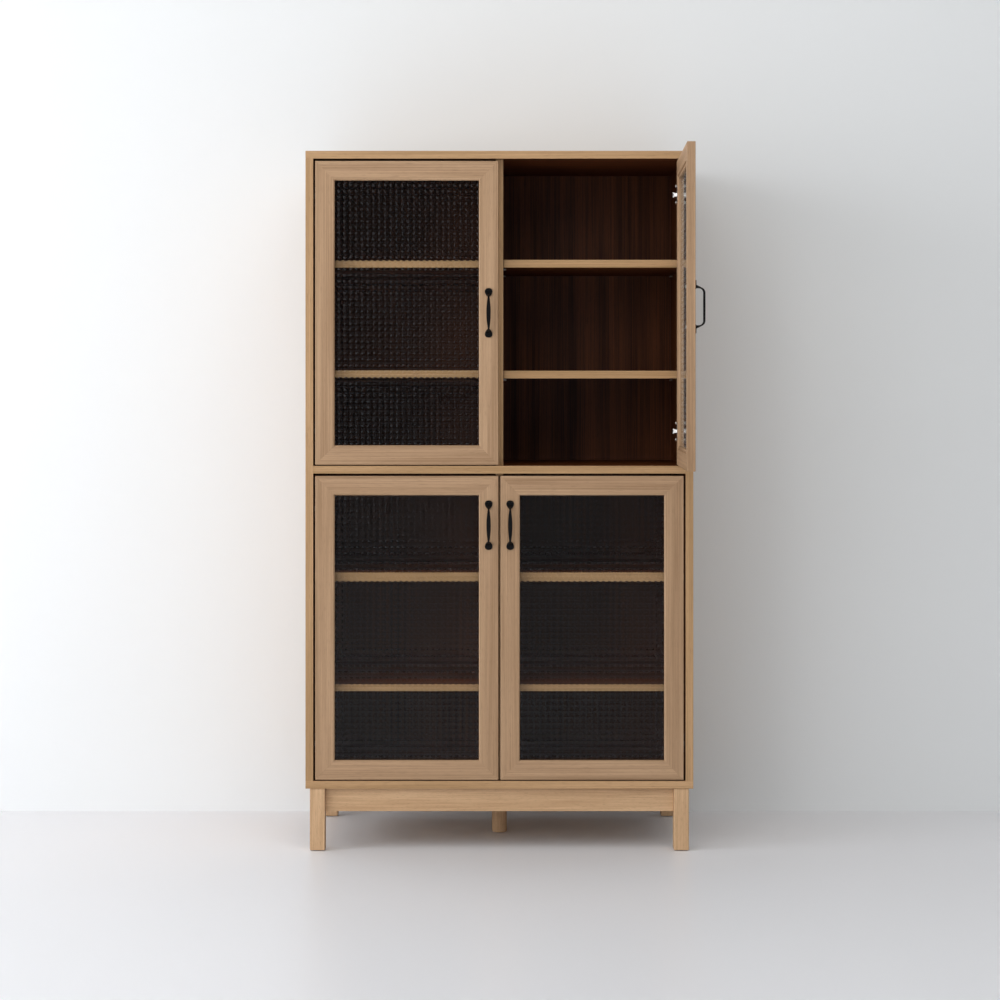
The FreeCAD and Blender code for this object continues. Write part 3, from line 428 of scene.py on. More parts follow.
@dataclass(frozen=True)
class WoodGrain:
    """Straight-grained wood, printed on foil or solid, read from each board's grain attribute.

    Streaks run along the board, in bands of two tones, with short dark pores, as on quarter-sawn timber. Real
    pores are about 0.3 mm wide, too fine to show, so they are drawn coarser.
    """

    name: str
    pale: str
    deep: str
    pore: str
    streak_mm: float = 2.4
    streak_run_mm: float = 420
    streak_share: float = 0.55
    band_mm: float = 34
    band_run_mm: float = 900
    pore_mm: float = 1.1
    pore_run_mm: float = 26
    pore_limits: tuple[float, float] = (0.58, 0.72)
    pore_strength: float = 0.42
    spread: float = 0.13
    roughness: float = 0.5
    roughness_spread: float = 0.06
    relief_mm: float = 0.03
    relief_strength: float = 0.35
    noise_roughness: float = 0.6
    ior: float = 1.46

    def pattern(
        self, tree: bpy.types.NodeTree, across_mm: float, run_mm: float, detail: float
    ) -> bpy.types.NodeSocket:
        """Adds noise that is stretched along the grain.

        Args:
            tree: The material's node tree.
            across_mm: The width of one streak.
            run_mm: Its length.
            detail: The noise's detail.

        Returns:
            The noise's value, from 0 to 1.
        """
        grain = add_node(tree, "ShaderNodeAttribute", attribute_name="grain", attribute_type="GEOMETRY")
        steps = (1 / (run_mm * MM), 1 / (across_mm * MM), 1 / (across_mm * MM))
        factors = {0: grain.outputs["Vector"], 1: steps}
        place = add_node(tree, "ShaderNodeVectorMath", factors, operation="MULTIPLY").outputs[0]
        shape = {"Vector": place, "Scale": 1.0, "Detail": detail, "Roughness": self.noise_roughness}
        return add_node(tree, "ShaderNodeTexNoise", shape).outputs["Fac"]

    def build(self) -> bpy.types.Material:
        """Makes the material.

        Returns:
            The material, with bands, streaks, pores, an uneven sheen and a slight relief.
        """
        material, tree, output = new_material(self.name)
        band = self.pattern(tree, self.band_mm, self.band_run_mm, detail=2.0)
        streak = self.pattern(tree, self.streak_mm, self.streak_run_mm, detail=3.0)
        pores = self.pattern(tree, self.pore_mm, self.pore_run_mm, detail=1.0)
        shares = {"Factor": self.streak_share, "A": band, "B": streak}
        both = add_node(tree, "ShaderNodeMix", shares, data_type="FLOAT").outputs[0]
        limits = {"From Min": 0.5 - self.spread, "From Max": 0.5 + self.spread}
        tone = add_node(tree, "ShaderNodeMapRange", {"Value": both, **limits}).outputs[0]
        tones = {"Factor": tone, "A": linear(self.deep), "B": linear(self.pale)}
        plain = add_node(tree, "ShaderNodeMix", tones, data_type="RGBA").outputs["Result"]
        start, full = self.pore_limits
        limits = {"From Min": start, "From Max": full, "To Max": self.pore_strength}
        dark = add_node(tree, "ShaderNodeMapRange", {"Value": pores, **limits}).outputs[0]
        tones = {"Factor": dark, "A": plain, "B": linear(self.pore)}
        marked = add_node(tree, "ShaderNodeMix", tones, data_type="RGBA").outputs["Result"]
        low, high = self.roughness - self.roughness_spread, self.roughness + self.roughness_spread
        limits = {"To Min": low, "To Max": high}
        sheen = add_node(tree, "ShaderNodeMapRange", {"Value": streak, **limits}).outputs[0]
        height = {"Height": streak, "Strength": self.relief_strength, "Distance": self.relief_mm * MM}
        relief = add_node(tree, "ShaderNodeBump", height).outputs[0]
        finish = {"Base Color": marked, "Roughness": sheen, "Normal": relief, "IOR": self.ior}
        shader = add_node(tree, "ShaderNodeBsdfPrincipled", finish)
        tree.links.new(shader.outputs[0], output.inputs["Surface"])
        return material


@dataclass(frozen=True)
class PressedGlass:
    """Clear soda-lime glass, pressed between rollers. The mesh has its pillows, and this its faint haze."""

    name: str = "pressed_soda_glass"
    tint: str = "#F4F4F2"
    haze_mm: float = 9.0
    roughness_limits: tuple[float, float] = (0.02, 0.07)
    ior: float = 1.52

    def build(self) -> bpy.types.Material:
        """Makes the material.

        Returns:
            The material, which bends what is seen through it and lets lamp light straight through.
        """
        material, tree, output = new_material(self.name)
        place = add_node(tree, "ShaderNodeTexCoord").outputs["Object"]
        shape = {"Vector": place, "Scale": 1 / (self.haze_mm * MM)}
        haze = add_node(tree, "ShaderNodeTexNoise", shape).outputs[0]
        low, high = self.roughness_limits
        limits = {"Value": haze, "To Min": low, "To Max": high}
        rough = add_node(tree, "ShaderNodeMapRange", limits).outputs[0]
        finish = {
            "Base Color": linear(self.tint),
            "Roughness": rough,
            "IOR": self.ior,
            "Transmission Weight": 1.0,
        }
        shader = add_node(tree, "ShaderNodeBsdfPrincipled", finish).outputs[0]
        clear = add_node(tree, "ShaderNodeBsdfTransparent", {"Color": linear(self.tint)}).outputs[0]
        mix = add_node(tree, "ShaderNodeMixShader", {0: carries_light(tree), 1: shader, 2: clear})
        tree.links.new(mix.outputs[0], output.inputs["Surface"])
        return material


@dataclass(frozen=True)
class SmoothFinish:
    """Plated or painted metal, or moulded plastic, with the fine unevenness that it was left with.

    The real unevenness is too fine to show, so it is drawn coarser.
    """

    name: str
    colour: str
    metallic: float
    roughness: float
    grit_mm: float
    relief_mm: float
    spread: float = 0.05
    relief_strength: float = 0.3

    def build(self) -> bpy.types.Material:
        """Makes the material.

        Returns:
            The material, with an uneven sheen and a slight relief.
        """
        material, tree, output = new_material(self.name)
        place = add_node(tree, "ShaderNodeTexCoord").outputs["Object"]
        shape = {"Vector": place, "Scale": 1 / (self.grit_mm * MM), "Detail": 3.0}
        grit = add_node(tree, "ShaderNodeTexNoise", shape).outputs[0]
        low, high = self.roughness - self.spread, self.roughness + self.spread
        limits = {"Value": grit, "To Min": low, "To Max": high}
        rough = add_node(tree, "ShaderNodeMapRange", limits).outputs[0]
        height = {"Height": grit, "Strength": self.relief_strength, "Distance": self.relief_mm * MM}
        relief = add_node(tree, "ShaderNodeBump", height).outputs[0]
        finish = {
            "Base Color": linear(self.colour),
            "Metallic": self.metallic,
            "Roughness": rough,
            "Normal": relief,
        }
        shader = add_node(tree, "ShaderNodeBsdfPrincipled", finish)
        tree.links.new(shader.outputs[0], output.inputs["Surface"])
        return material


class Finishes:
    """Every finish on the cabinet, each made once."""

    def __init__(self) -> None:
        """Makes the materials."""
        # Melamine foil printed with oak, on particle board: calm honey streaks under an even matte coat.
        self.oak = WoodGrain("matte_oak_foil", pale="#CAA278", deep="#A8845A", pore="#866445").build()
        # The same foil in the doors' print, a little greyer and pinker than the case.
        self.door_oak = WoodGrain(
            "matte_pale_oak_foil", pale="#C3A07E", deep="#9E7C5C", pore="#83664C"
        ).build()
        # Walnut print inside: red-brown where light falls on it, nearly black in the depth of a bay.
        self.walnut = WoodGrain(
            "matte_walnut_foil",
            pale="#7F451F",
            deep="#421F0A",
            pore="#1E0F07",
            streak_mm=3.2,
            band_mm=28,
            spread=0.12,
            roughness=0.46,
        ).build()
        # Solid rubberwood under clear lacquer: paler than the foils, smoother, with short streaks and pores.
        self.leg_wood = WoodGrain(
            "lacquered_rubberwood",
            pale="#D9B48C",
            deep="#BE9770",
            pore="#9C7855",
            streak_mm=3.0,
            streak_run_mm=120,
            pore_run_mm=12,
            roughness=0.38,
        ).build()
        # Pressed glass: each pillow bends the dark bay behind it and catches one soft, bluish light.
        self.glass = PressedGlass().build()
        # Iron under baked black paint: deep black, with broad soft highlights along the bow.
        self.iron = SmoothFinish(
            "black_painted_iron", "#0B0B0D", metallic=0.0, roughness=0.38, grit_mm=0.7, relief_mm=0.02
        ).build()
        # Nickel plate on pressed steel: bright, with highlights that are a little blurred.
        self.nickel = SmoothFinish(
            "bright_nickel_plate", "#E9E7E2", metallic=1.0, roughness=0.3, grit_mm=1.2, relief_mm=0.01
        ).build()
        # Moulded polythene: dull warm grey, with no sharp highlight.
        self.plastic = SmoothFinish(
            "moulded_grey_polythene", "#5A5650", metallic=0.0, roughness=0.6, grit_mm=0.9, relief_mm=0.02
        ).build()


def wear(piece: bpy.types.Object, *materials: bpy.types.Material) -> None:
    """Gives a piece its materials. All its faces start with the first.

    Args:
        piece: The piece to dress.
        *materials: Its materials, the main one first.
    """
    piece.data.materials.clear()
    for material in materials:
        piece.data.materials.append(material)
    for face in piece.data.polygons:
        face.material_index = 0


def face_with(piece: bpy.types.Object, index: int, test: Callable[[Vector, Vector], bool]) -> None:
    """Gives the faces that pass a test another of the piece's materials.

    Args:
        piece: The piece, already dressed.
        index: The material's place in the piece's list.
        test: Takes a face's centre and normal, and says whether it gets the material.
    """
    for face in piece.data.polygons:
        if test(face.center, face.normal):
            face.material_index = index


def hand_over(piece: bpy.types.Object, body: str, slot: str, *nodes: str) -> None:
    """Makes a finished piece ride on its body and stand for its CAD nodes, and reports it.

    Args:
        piece: The finished piece.
        body: The body that carries it.
        slot: The material slot that it belongs to. Not used.
        *nodes: The CAD nodes that it replaces.
    """
    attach(piece, body)
    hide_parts(*nodes)
    LOG.info("%s: %d faces on %s", piece.name, len(piece.data.polygons), body)


def wear_node(node: str, material: bpy.types.Material) -> None:
    """Gives a CAD node whose shape is right its material.

    Args:
        node: The node's name.
        material: What it is made of.
    """
    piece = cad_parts[node]
    for slot in piece.material_slots:
        slot.link = "OBJECT"
        slot.material = material
    LOG.info("%s: kept from the CAD model", node)


# The cabinet


@dataclass
class Case:
    """The boards of the case, in oak foil outside and walnut foil inside, and the walnut backs."""

    finishes: Finishes
    rounding: float = 0.6 * MM
    back_rounding: float = 0.3 * MM
    inner_x: float = 432 * MM
    band: float = 1 * MM
    board_step: tuple[float, float] = (1.37, 0.41)
    back_step: tuple[float, float] = (0.83, 0.29)
    grain: dict[str, Axis] = field(
        default_factory=lambda: {
            "top_panel": Axis.X,
            "bottom_panel": Axis.X,
            "middle_panel": Axis.X,
            "left_side_panel": Axis.Z,
            "right_side_panel": Axis.Z,
            "upper_partition": Axis.Z,
            "lower_partition": Axis.Z,
        }
    )

    def is_inside(self, node: str, centre: Vector, normal: Vector) -> bool:
        """Says whether a face of a board looks into the case, behind its front edge.

        Args:
            node: The board's CAD node.
            centre: The face's centre.
            normal: The face's normal.

        Returns:
            True where the face is walnut.
        """
        if "partition" in node:
            return abs(normal.y) < FACING
        if centre.y < corners(node)[0].y + self.band or abs(normal.y) > FACING:
            return False
        if "side" in node:
            return normal.x * centre.x < -FACING * abs(centre.x)
        inward = {"top_panel": -normal.z, "bottom_panel": normal.z}.get(node, abs(normal.z))
        return abs(centre.x) <= self.inner_x and inward > FACING

    def board(self, node: str, along: Axis, number: int) -> None:
        """Builds one board with a rounded outline and a thin band on its front edge.

        Args:
            node: The CAD node that it stands for.
            along: The axis of its grain.
            number: Its number, which picks its place on the printed sheet.
        """
        low, high = corners(node)
        piece = round_edges(block(f"{node}_board", low, high), self.rounding)
        cuts = [(Vector((0, low.y + self.band, 0)), Vector((0, 1, 0)))]
        if node in ("top_panel", "bottom_panel"):
            cuts += [(Vector((side * self.inner_x, 0, 0)), Vector((1, 0, 0))) for side in SIDES]
        for point, normal in cuts:
            with editing(piece):
                bpy.ops.mesh.bisect(plane_co=point, plane_no=normal)
        shade(piece)
        lay_grain(piece, along, number, self.board_step)
        wear(piece, self.finishes.oak, self.finishes.walnut)
        face_with(piece, 1, lambda centre, normal: self.is_inside(node, centre, normal))
        hand_over(piece, "carcass", "oak_foil_board", node)

    def back(self, node: str, number: int) -> None:
        """Builds a thin back panel, whose grain stands upright.

        Args:
            node: The CAD node that it stands for.
            number: Its number, which picks its place on the printed sheet.
        """
        piece = round_edges(block(f"{node}_sheet", *corners(node)), self.back_rounding)
        lay_grain(piece, Axis.Z, number, self.back_step)
        wear(piece, self.finishes.walnut)
        hand_over(piece, "carcass", "walnut_back_board", node)

    def build(self) -> None:
        """Builds every board."""
        for number, (node, along) in enumerate(self.grain.items()):
            self.board(node, along, number)
        for number, node in enumerate(("upper_back_panel", "lower_back_panel"), start=3):
            self.back(node, number)


@dataclass
class Shelving:
    """Eight loose shelves, walnut with an oak band in front, on nickel pins."""

    finishes: Finishes
    rounding: float = 0.6 * MM
    band: float = 1 * MM
    step: tuple[float, float] = (0.91, 0.47)
    pin_radius: float = 2.5 * MM
    pin_hole: float = 8 * MM
    pin_reach: float = 7 * MM
    pin_rounding: float = 0.4 * MM
    pin_inset: float = 37 * MM
    side_x: float = 432 * MM
    partition_x: float = 9 * MM

    def shelf(self, node: str, number: int) -> None:
        """Builds one shelf.

        Args:
            node: The CAD node that it stands for.
            number: Its number, which picks its place on the printed sheet.
        """
        low, high = corners(node)
        edge = low.y + self.band
        piece = round_edges(block(f"{node}_board", low, high), self.rounding)
        with editing(piece):
            bpy.ops.mesh.bisect(plane_co=(0, edge, 0), plane_no=(0, 1, 0))
        shade(piece)
        lay_grain(piece, Axis.X, number, self.step)
        wear(piece, self.finishes.walnut, self.finishes.oak)
        face_with(piece, 1, lambda centre, normal: centre.y < edge)
        hand_over(piece, "carcass", "walnut_foil_board", node)

    def pin_places(self, node: str) -> list[Matrix]:
        """Finds where the four pins under a shelf stick out of the side panel and the partition.

        Args:
            node: The shelf's CAD node.

        Returns:
            A matrix for each pin, with Z out of the board that holds it.
        """
        low, high = corners(node)
        sign = 1 if low.x > 0 else -1
        depths = (low.y + self.pin_inset, high.y - self.pin_inset)
        holders = ((self.side_x * sign, -sign), (self.partition_x * sign, sign))
        return [
            Matrix.Translation((x, y, low.z - self.pin_radius)) @ Matrix.Rotation(QUARTER * turn, 4, "Y")
            for y, (x, turn) in product(depths, holders)
        ]

    def build(self) -> None:
        """Builds the shelves, and under each its four pins."""
        blank = rod("shelf_pin", self.pin_radius, -self.pin_hole, self.pin_reach, sides=20)
        master = round_edges(blank, self.pin_rounding)
        pins = []
        for number, node in enumerate(sorted(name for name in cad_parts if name.endswith("_shelf"))):
            self.shelf(node, number)
            pins += [copy_at(master, "shelf_pin_copy", place) for place in self.pin_places(node)]
        drop(master)
        piece = join("shelf_pins_piece", pins)
        wear(piece, self.finishes.nickel)
        hand_over(piece, "carcass", "nickel_plated_steel", "shelf_pins")


@dataclass
class LegFrame:
    """Four square legs, a round one in the middle, rails between them, bolts and glides."""

    finishes: Finishes
    legs: tuple[str, ...] = ("front_left_leg", "front_right_leg", "rear_left_leg", "rear_right_leg")
    leg_rounding: float = 2 * MM
    leg_step: tuple[float, float] = (0.7, 0.23)
    centre_leg_step: tuple[float, float] = (4.1, 0.9)
    rail_thick: float = 18 * MM
    rail_rounding: float = 0.8 * MM
    rail_step: tuple[float, float] = (1.1, 0.37)
    tenon: float = 8 * MM
    glide_radius: float = 10 * MM
    glide_height: float = 1.5 * MM
    glide_rounding: float = 0.4 * MM

    def leg(self, node: str, blank: bpy.types.Object, number: int, step: tuple[float, float]) -> None:
        """Makes a leg from its blank, with softly rounded edges.

        Args:
            node: The CAD node that it stands for.
            blank: A block or rod of the leg's size.
            number: Its number, which picks its place on the timber.
            step: How far each leg lies from the one before on the timber.
        """
        piece = round_edges(blank, self.leg_rounding, segments=3)
        lay_grain(piece, Axis.Z, number, step)
        wear(piece, self.finishes.leg_wood)
        hand_over(piece, "carcass", "oak_leg_wood", node)

    def rail(self, name: str, low: Vector, high: Vector, number: int) -> bpy.types.Object:
        """Builds one rail, from leg to leg.

        Args:
            name: The piece's name.
            low: Its lowest corner, with its tenon.
            high: Its highest corner, with its tenon.
            number: Its number, which picks its place on the timber.

        Returns:
            The rail.
        """
        along = Axis.X if high.x - low.x > high.y - low.y else Axis.Y
        inward = Vector((self.tenon, 0, 0)) if along is Axis.X else Vector((0, self.tenon, 0))
        piece = round_edges(block(name, low + inward, high - inward), self.rail_rounding)
        lay_grain(piece, along, number, self.rail_step)
        wear(piece, self.finishes.leg_wood)
        return piece

    def rails(self) -> None:
        """Builds the front and rear rail, and the two side rails as one piece."""
        for number, node in enumerate(("front_rail", "rear_rail"), start=2):
            hand_over(self.rail(f"{node}_board", *corners(node), number), "carcass", "oak_leg_wood", node)
        low, high = corners("side_rails")
        left = self.rail("left_rail", low, Vector((low.x + self.rail_thick, high.y, high.z)), 5)
        right = self.rail("right_rail", Vector((high.x - self.rail_thick, low.y, low.z)), high, 6)
        hand_over(join("side_rails_boards", [left, right]), "carcass", "oak_leg_wood", "side_rails")

    def glides(self) -> None:
        """Builds the glide under each leg."""
        blank = rod("glide", self.glide_radius, 0, self.glide_height, sides=32)
        master = round_edges(blank, self.glide_rounding)
        places = [Vector((0, 0, 0))]
        for node in self.legs:
            low, high = corners(node)
            places.append(Vector(((low.x + high.x) / 2, (low.y + high.y) / 2, 0)))
        glides = [copy_at(master, "glide_copy", Matrix.Translation(place)) for place in places]
        drop(master)
        piece = join("leg_glides_piece", glides)
        wear(piece, self.finishes.plastic)
        hand_over(piece, "carcass", "felt_grey_plastic", "leg_glides")

    def build(self) -> None:
        """Builds the leg frame."""
        for number, node in enumerate(self.legs):
            self.leg(node, block(f"{node}_post", *corners(node)), number, self.leg_step)
        low, high = corners("centre_leg")
        post = rod("centre_leg_post", (high.x - low.x) / 2, low.z, high.z, sides=64)
        self.leg("centre_leg", post, 1, self.centre_leg_step)
        self.rails()
        self.glides()
        wear_node("leg_bolts", self.finishes.nickel)


@dataclass(frozen=True)
class ScrewHead:
    """A pan head with a cross recess, on a plain shank, along Z. Its shares are of the head's own size."""

    radius: float
    height: float
    shank_radius: float
    shank: float
    crown: float = 0.45
    recess_reach: float = 0.62
    recess_arm: float = 0.13
    recess_floor: float = 0.4
    overlap: float = 0.2

    def build(self, name: str) -> bpy.types.Object:
        """Builds the screw, with its head above the origin.

        Args:
            name: The screw's name.

        Returns:
            The screw.
        """
        blank = rod(name, self.radius, 0, self.height, sides=24)
        head = round_edges(blank, self.height * self.crown, segments=3)
        reach, arm = self.radius * self.recess_reach, self.radius * self.recess_arm
        floor, top = self.height * self.recess_floor, self.height * 2
        for x, y in ((reach, arm), (arm, reach)):
            cut(head, block("recess", Vector((-x, -y, floor)), Vector((x, y, top))))
        shank = rod("shank", self.shank_radius, -self.shank, self.height * self.overlap, sides=12)
        return join(name, [head, shank])


@dataclass
class HingeCup:
    """A hinge cup with its flange, ears and screws.

    Z points out of the door's back, and X away from the edge that it hangs on.
    """

    radius: float = 13 * MM
    depth: float = 10.5 * MM
    rim: float = 1 * MM
    wall: float = 0.8 * MM
    sides: int = 64
    rounding: float = 0.2 * MM
    mouth_mm: tuple[tuple[float, ...], tuple[float, ...]] = ((-14, -4.3, -3.5), (-6.5, 4.3, 2))
    flange_radius: float = 5 * MM
    flange_x: float = 5 * MM
    flange_reach: float = 18 * MM
    flange_bore: float = 12.3 * MM
    flange_rounding: float = 0.25 * MM
    ear_y_mm: float = 6.3
    ear_half_mm: float = 0.5
    ear_x_mm: tuple[float, float] = (-10.6, -3.1)
    ear_z_mm: tuple[float, float] = (-10.2, -0.2)
    screw: ScrewHead = ScrewHead(radius=4 * MM, height=3.8 * MM, shank_radius=1.6 * MM, shank=0.5 * MM)
    screw_mm: tuple[float, float, float] = (5, 19, 1)

    def bowl(self) -> bpy.types.Object:
        """Builds the round bowl, open towards the arm.

        Returns:
            The bowl.
        """
        bowl = rod("cup", self.radius, -self.depth, self.rim, self.sides)
        choose(bowl, "FACE", lambda centre, normal: normal.z > FACING)
        with editing(bowl, whole=False):
            bpy.ops.mesh.inset(thickness=self.wall)
            sink = (0, 0, self.wall - self.depth - self.rim)
            bpy.ops.mesh.extrude_region_move(TRANSFORM_OT_translate={"value": sink})
        low, high = (Vector(corner) * MM for corner in self.mouth_mm)
        return round_edges(cut(bowl, block("mouth", low, high)), self.rounding)

    def flange(self) -> bpy.types.Object:
        """Builds the long flange that lies on the door and takes the two screws.

        Returns:
            The flange.
        """
        flange = rod("flange", self.flange_radius, 0, self.rim, sides=32)
        for sign in SIDES:
            choose(flange, "VERT", lambda place, normal: place.y * sign > TOUCHING)
            with editing(flange, "VERT", whole=False):
                bpy.ops.transform.translate(value=(0, self.flange_reach * sign, 0))
        flange.location.x = self.flange_x
        settle(flange)
        cut(flange, rod("bore", self.flange_bore, -self.rim, 2 * self.rim, self.sides))
        return round_edges(flange, self.flange_rounding)

    def ear(self, sign: int) -> bpy.types.Object:
        """Builds one of the two ears that the link's pin runs between.

        Args:
            sign: Its side, -1 or 1.

        Returns:
            The ear.
        """
        (x_low, x_high), (z_low, z_high), y = self.ear_x_mm, self.ear_z_mm, sign * self.ear_y_mm
        low = Vector((x_low, y - self.ear_half_mm, z_low)) * MM
        high = Vector((x_high, y + self.ear_half_mm, z_high)) * MM
        return round_edges(block("ear", low, high), self.rounding)

    def build(self) -> bpy.types.Object:
        """Builds the cup with all that is on it.

        Returns:
            The cup.
        """
        parts = [self.bowl(), self.flange(), *[self.ear(sign) for sign in SIDES]]
        head = self.screw.build("cup_screw")
        x, y, z = self.screw_mm
        for sign in SIDES:
            parts.append(copy_at(head, "cup_screw_copy", Matrix.Translation(Vector((x, sign * y, z)) * MM)))
        drop(head)
        return join("hinge_cup", parts)


@dataclass
class DoorSet:
    """Four glazed doors, each built as a left-hand door.

    X runs from the side panel, Y to the back and Z up from the lower edge.
    """

    finishes: Finishes
    width: float = 425 * MM
    height: float = 705 * MM
    thick: float = 18 * MM
    side_gap: float = 4.5 * MM
    side_x: float = 432 * MM
    front_y: float = -225 * MM
    axis: tuple[float, float, float] = (9.2 * MM, 7.7 * MM, 0)
    open_angle: float = math.radians(88.4)
    door_step: tuple[float, float] = (2.3, 0.71)
    member: float = 45 * MM
    member_step: tuple[float, float] = (1.9, 0.53)
    rebate: float = 8 * MM
    lip: float = 7 * MM
    outer_bevel: tuple[float, int] = (1.2 * MM, 2)
    inner_bevel: tuple[float, int] = (2.6 * MM, 1)
    edge_rounding: float = 0.25 * MM
    bead: float = 7 * MM
    bead_thick: float = 5 * MM
    bead_rounding: float = 0.5 * MM
    bead_step: tuple[float, float] = (0.9, 0.31)
    glass: float = 4 * MM
    glass_play: float = 0.3 * MM
    pillow_x: float = 13.3 * MM
    pillow_z: float = 13.9 * MM
    pillow_valley: float = 0.4 * MM
    pillow_corner: float = 3.6 * MM
    pillow_steps: tuple[tuple[float, float], ...] = ((1.4 * MM, 19), (1.6 * MM, 12), (1.6 * MM, 5))
    pillow_smooth: float = math.radians(35)
    cup: HingeCup = field(default_factory=HingeCup)
    cup_x: float = 21 * MM
    cup_play: float = 0.05 * MM
    hinge_inset: float = 78 * MM
    link_rounding: float = 0.2 * MM
    handle_drop: float = 114 * MM
    handle_rounding: float = 0.6 * MM
    foot: float = 43.4 * MM
    head: float = 13.85 * MM
    head_tapers: tuple[tuple[float, float], ...] = ((3.2 * MM, 0.86), (0.1 * MM, 0.6))
    head_bevel: tuple[float, int] = (2 * MM, 4)
    screw: ScrewHead = ScrewHead(radius=4 * MM, height=2.2 * MM, shank_radius=2 * MM, shank=22 * MM)

    def place(self, level: Level, side: Side) -> Matrix:
        """Gives the matrix that takes a door from where it is built to where it stands.

        Args:
            level: The door's compartment.
            side: The side that it hangs on.

        Returns:
            The matrix. A right-hand door is turned upside down, and the upper one stands open.
        """
        if side is Side.LEFT:
            return Matrix.Translation((-self.side_x, self.front_y, level.value))
        corner = Matrix.Translation((self.side_x, self.front_y, level.value + self.height))
        place = corner @ Matrix.Rotation(math.pi, 4, "Y")
        if level is Level.UPPER:
            swing = Matrix.Rotation(-self.open_angle, 4, "Z")
            place = place @ Matrix.Translation(self.axis) @ swing @ Matrix.Translation(-Vector(self.axis))
        return place

    def on_back(self, x: float, heights: tuple[float, float]) -> list[Matrix]:
        """Gives the matrices of two places on a door's back, x from the side panel, with Z out of it."""
        outward = Matrix.Rotation(-QUARTER, 4, "X")
        return [Matrix.Translation((x, self.thick, height)) @ outward for height in heights]

    def cup_places(self) -> list[Matrix]:
        """Gives the places of a door's two hinge cups."""
        return self.on_back(self.cup_x, (self.hinge_inset, self.height - self.hinge_inset))

    def ring(
        self, name: str, inset: float, width: float, front: float, thick: float
    ) -> list[bpy.types.Object]:
        """Builds four mitred members round the door, as separate pieces.

        Args:
            name: The members' name.
            inset: How far the ring stands inside the door's edge.
            width: The members' width.
            front: The depth of their front face.
            thick: Their thickness.

        Returns:
            The four members, the upright ones first.
        """
        bpy.ops.object.select_all(action="DESELECT")
        centre = Vector((self.side_gap + self.width / 2, front, self.height / 2))
        bpy.ops.mesh.primitive_plane_add(size=1, location=centre, rotation=(QUARTER, 0, 0))
        piece = bpy.context.object
        piece.scale = (self.width - 2 * inset, self.height - 2 * inset, 1)
        settle(piece)
        with editing(piece):
            bpy.ops.mesh.inset(thickness=width, use_even_offset=True)
            bpy.ops.mesh.delete(type="FACE")
        choose(piece, "EDGE", lambda middle, way: max(abs(way.x), abs(way.z)) < STRAIGHT)
        with editing(piece, "EDGE", whole=False):
            bpy.ops.mesh.edge_split(type="EDGE")
        with editing(piece):
            bpy.ops.mesh.extrude_region_move(TRANSFORM_OT_translate={"value": (0, thick, 0)})
            bpy.ops.mesh.select_all(action="SELECT")
            bpy.ops.mesh.normals_make_consistent(inside=False)
            bpy.ops.mesh.separate(type="LOOSE")
        members = list(bpy.context.selected_objects)
        for member in members:
            member.name = name
        members.sort(key=lambda member: member.dimensions.x)
        return members

    def is_front_edge(self, middle: Vector, way: Vector, inner: bool) -> bool:
        """Says whether an edge runs along the front of a frame member.

        Args:
            middle: The edge's middle.
            way: The edge's direction.
            inner: True for the edge next to the glass, False for the one on the door's outline.

        Returns:
            True for the edge that is asked for.
        """
        in_x = self.width / 2 - abs(middle.x - self.side_gap - self.width / 2)
        in_z = self.height / 2 - abs(middle.z - self.height / 2)
        at_glass = min(abs(in_x - self.member), abs(in_z - self.member)) < NEAR
        return middle.y < NEAR and max(abs(way.x), abs(way.z)) > STRAIGHT and at_glass is inner

    def bore(self, stile: bpy.types.Object) -> None:
        """Bores the two holes for the hinge cups into the back of the hinge stile.

        Args:
            stile: The upright member at the hinges.
        """
        floor = -self.cup.depth - self.cup_play
        tool = rod("bore", self.cup.radius + self.cup_play, floor, self.cup.rim, self.cup.sides)
        for place in self.cup_places():
            cut(stile, copy_at(tool, "bore_copy", place))
        drop(tool)

    def frame(self) -> bpy.types.Object:
        """Builds the door frame: mitred members with a rebate behind, each with its own grain.

        Returns:
            The frame.
        """
        members = self.ring("member", 0, self.member, 0, self.thick)
        reach = self.member - self.rebate
        low = Vector((self.side_gap + reach, self.lip, reach))
        high = Vector((self.side_gap + self.width - reach, self.thick + self.rebate, self.height - reach))
        for number, member in enumerate(members):
            cut(member, block("rebate", low, high))
            for inner, (width, steps) in ((False, self.outer_bevel), (True, self.inner_bevel)):
                choose(member, "EDGE", lambda middle, way: self.is_front_edge(middle, way, inner))
                with editing(member, "EDGE", whole=False):
                    bpy.ops.mesh.bevel(offset=width, segments=steps)
            if max(corner[0] for corner in member.bound_box) < self.width / 2:
                self.bore(member)
            round_edges(member, self.edge_rounding, segments=1)
            lay_grain(member, Axis.Z if number < 2 else Axis.X, number, self.member_step)
        return join("door_frame", members)

    def beads(self) -> bpy.types.Object:
        """Builds the four glazing beads behind the glass.

        Returns:
            The beads, as one piece.
        """
        inset = self.member - self.rebate
        members = self.ring("bead", inset, self.bead, self.lip + self.glass, self.bead_thick)
        for number, member in enumerate(members):
            round_edges(member, self.bead_rounding)
            lay_grain(member, Axis.Z if number < 2 else Axis.X, number, self.bead_step)
        return join("glazing_beads", members)

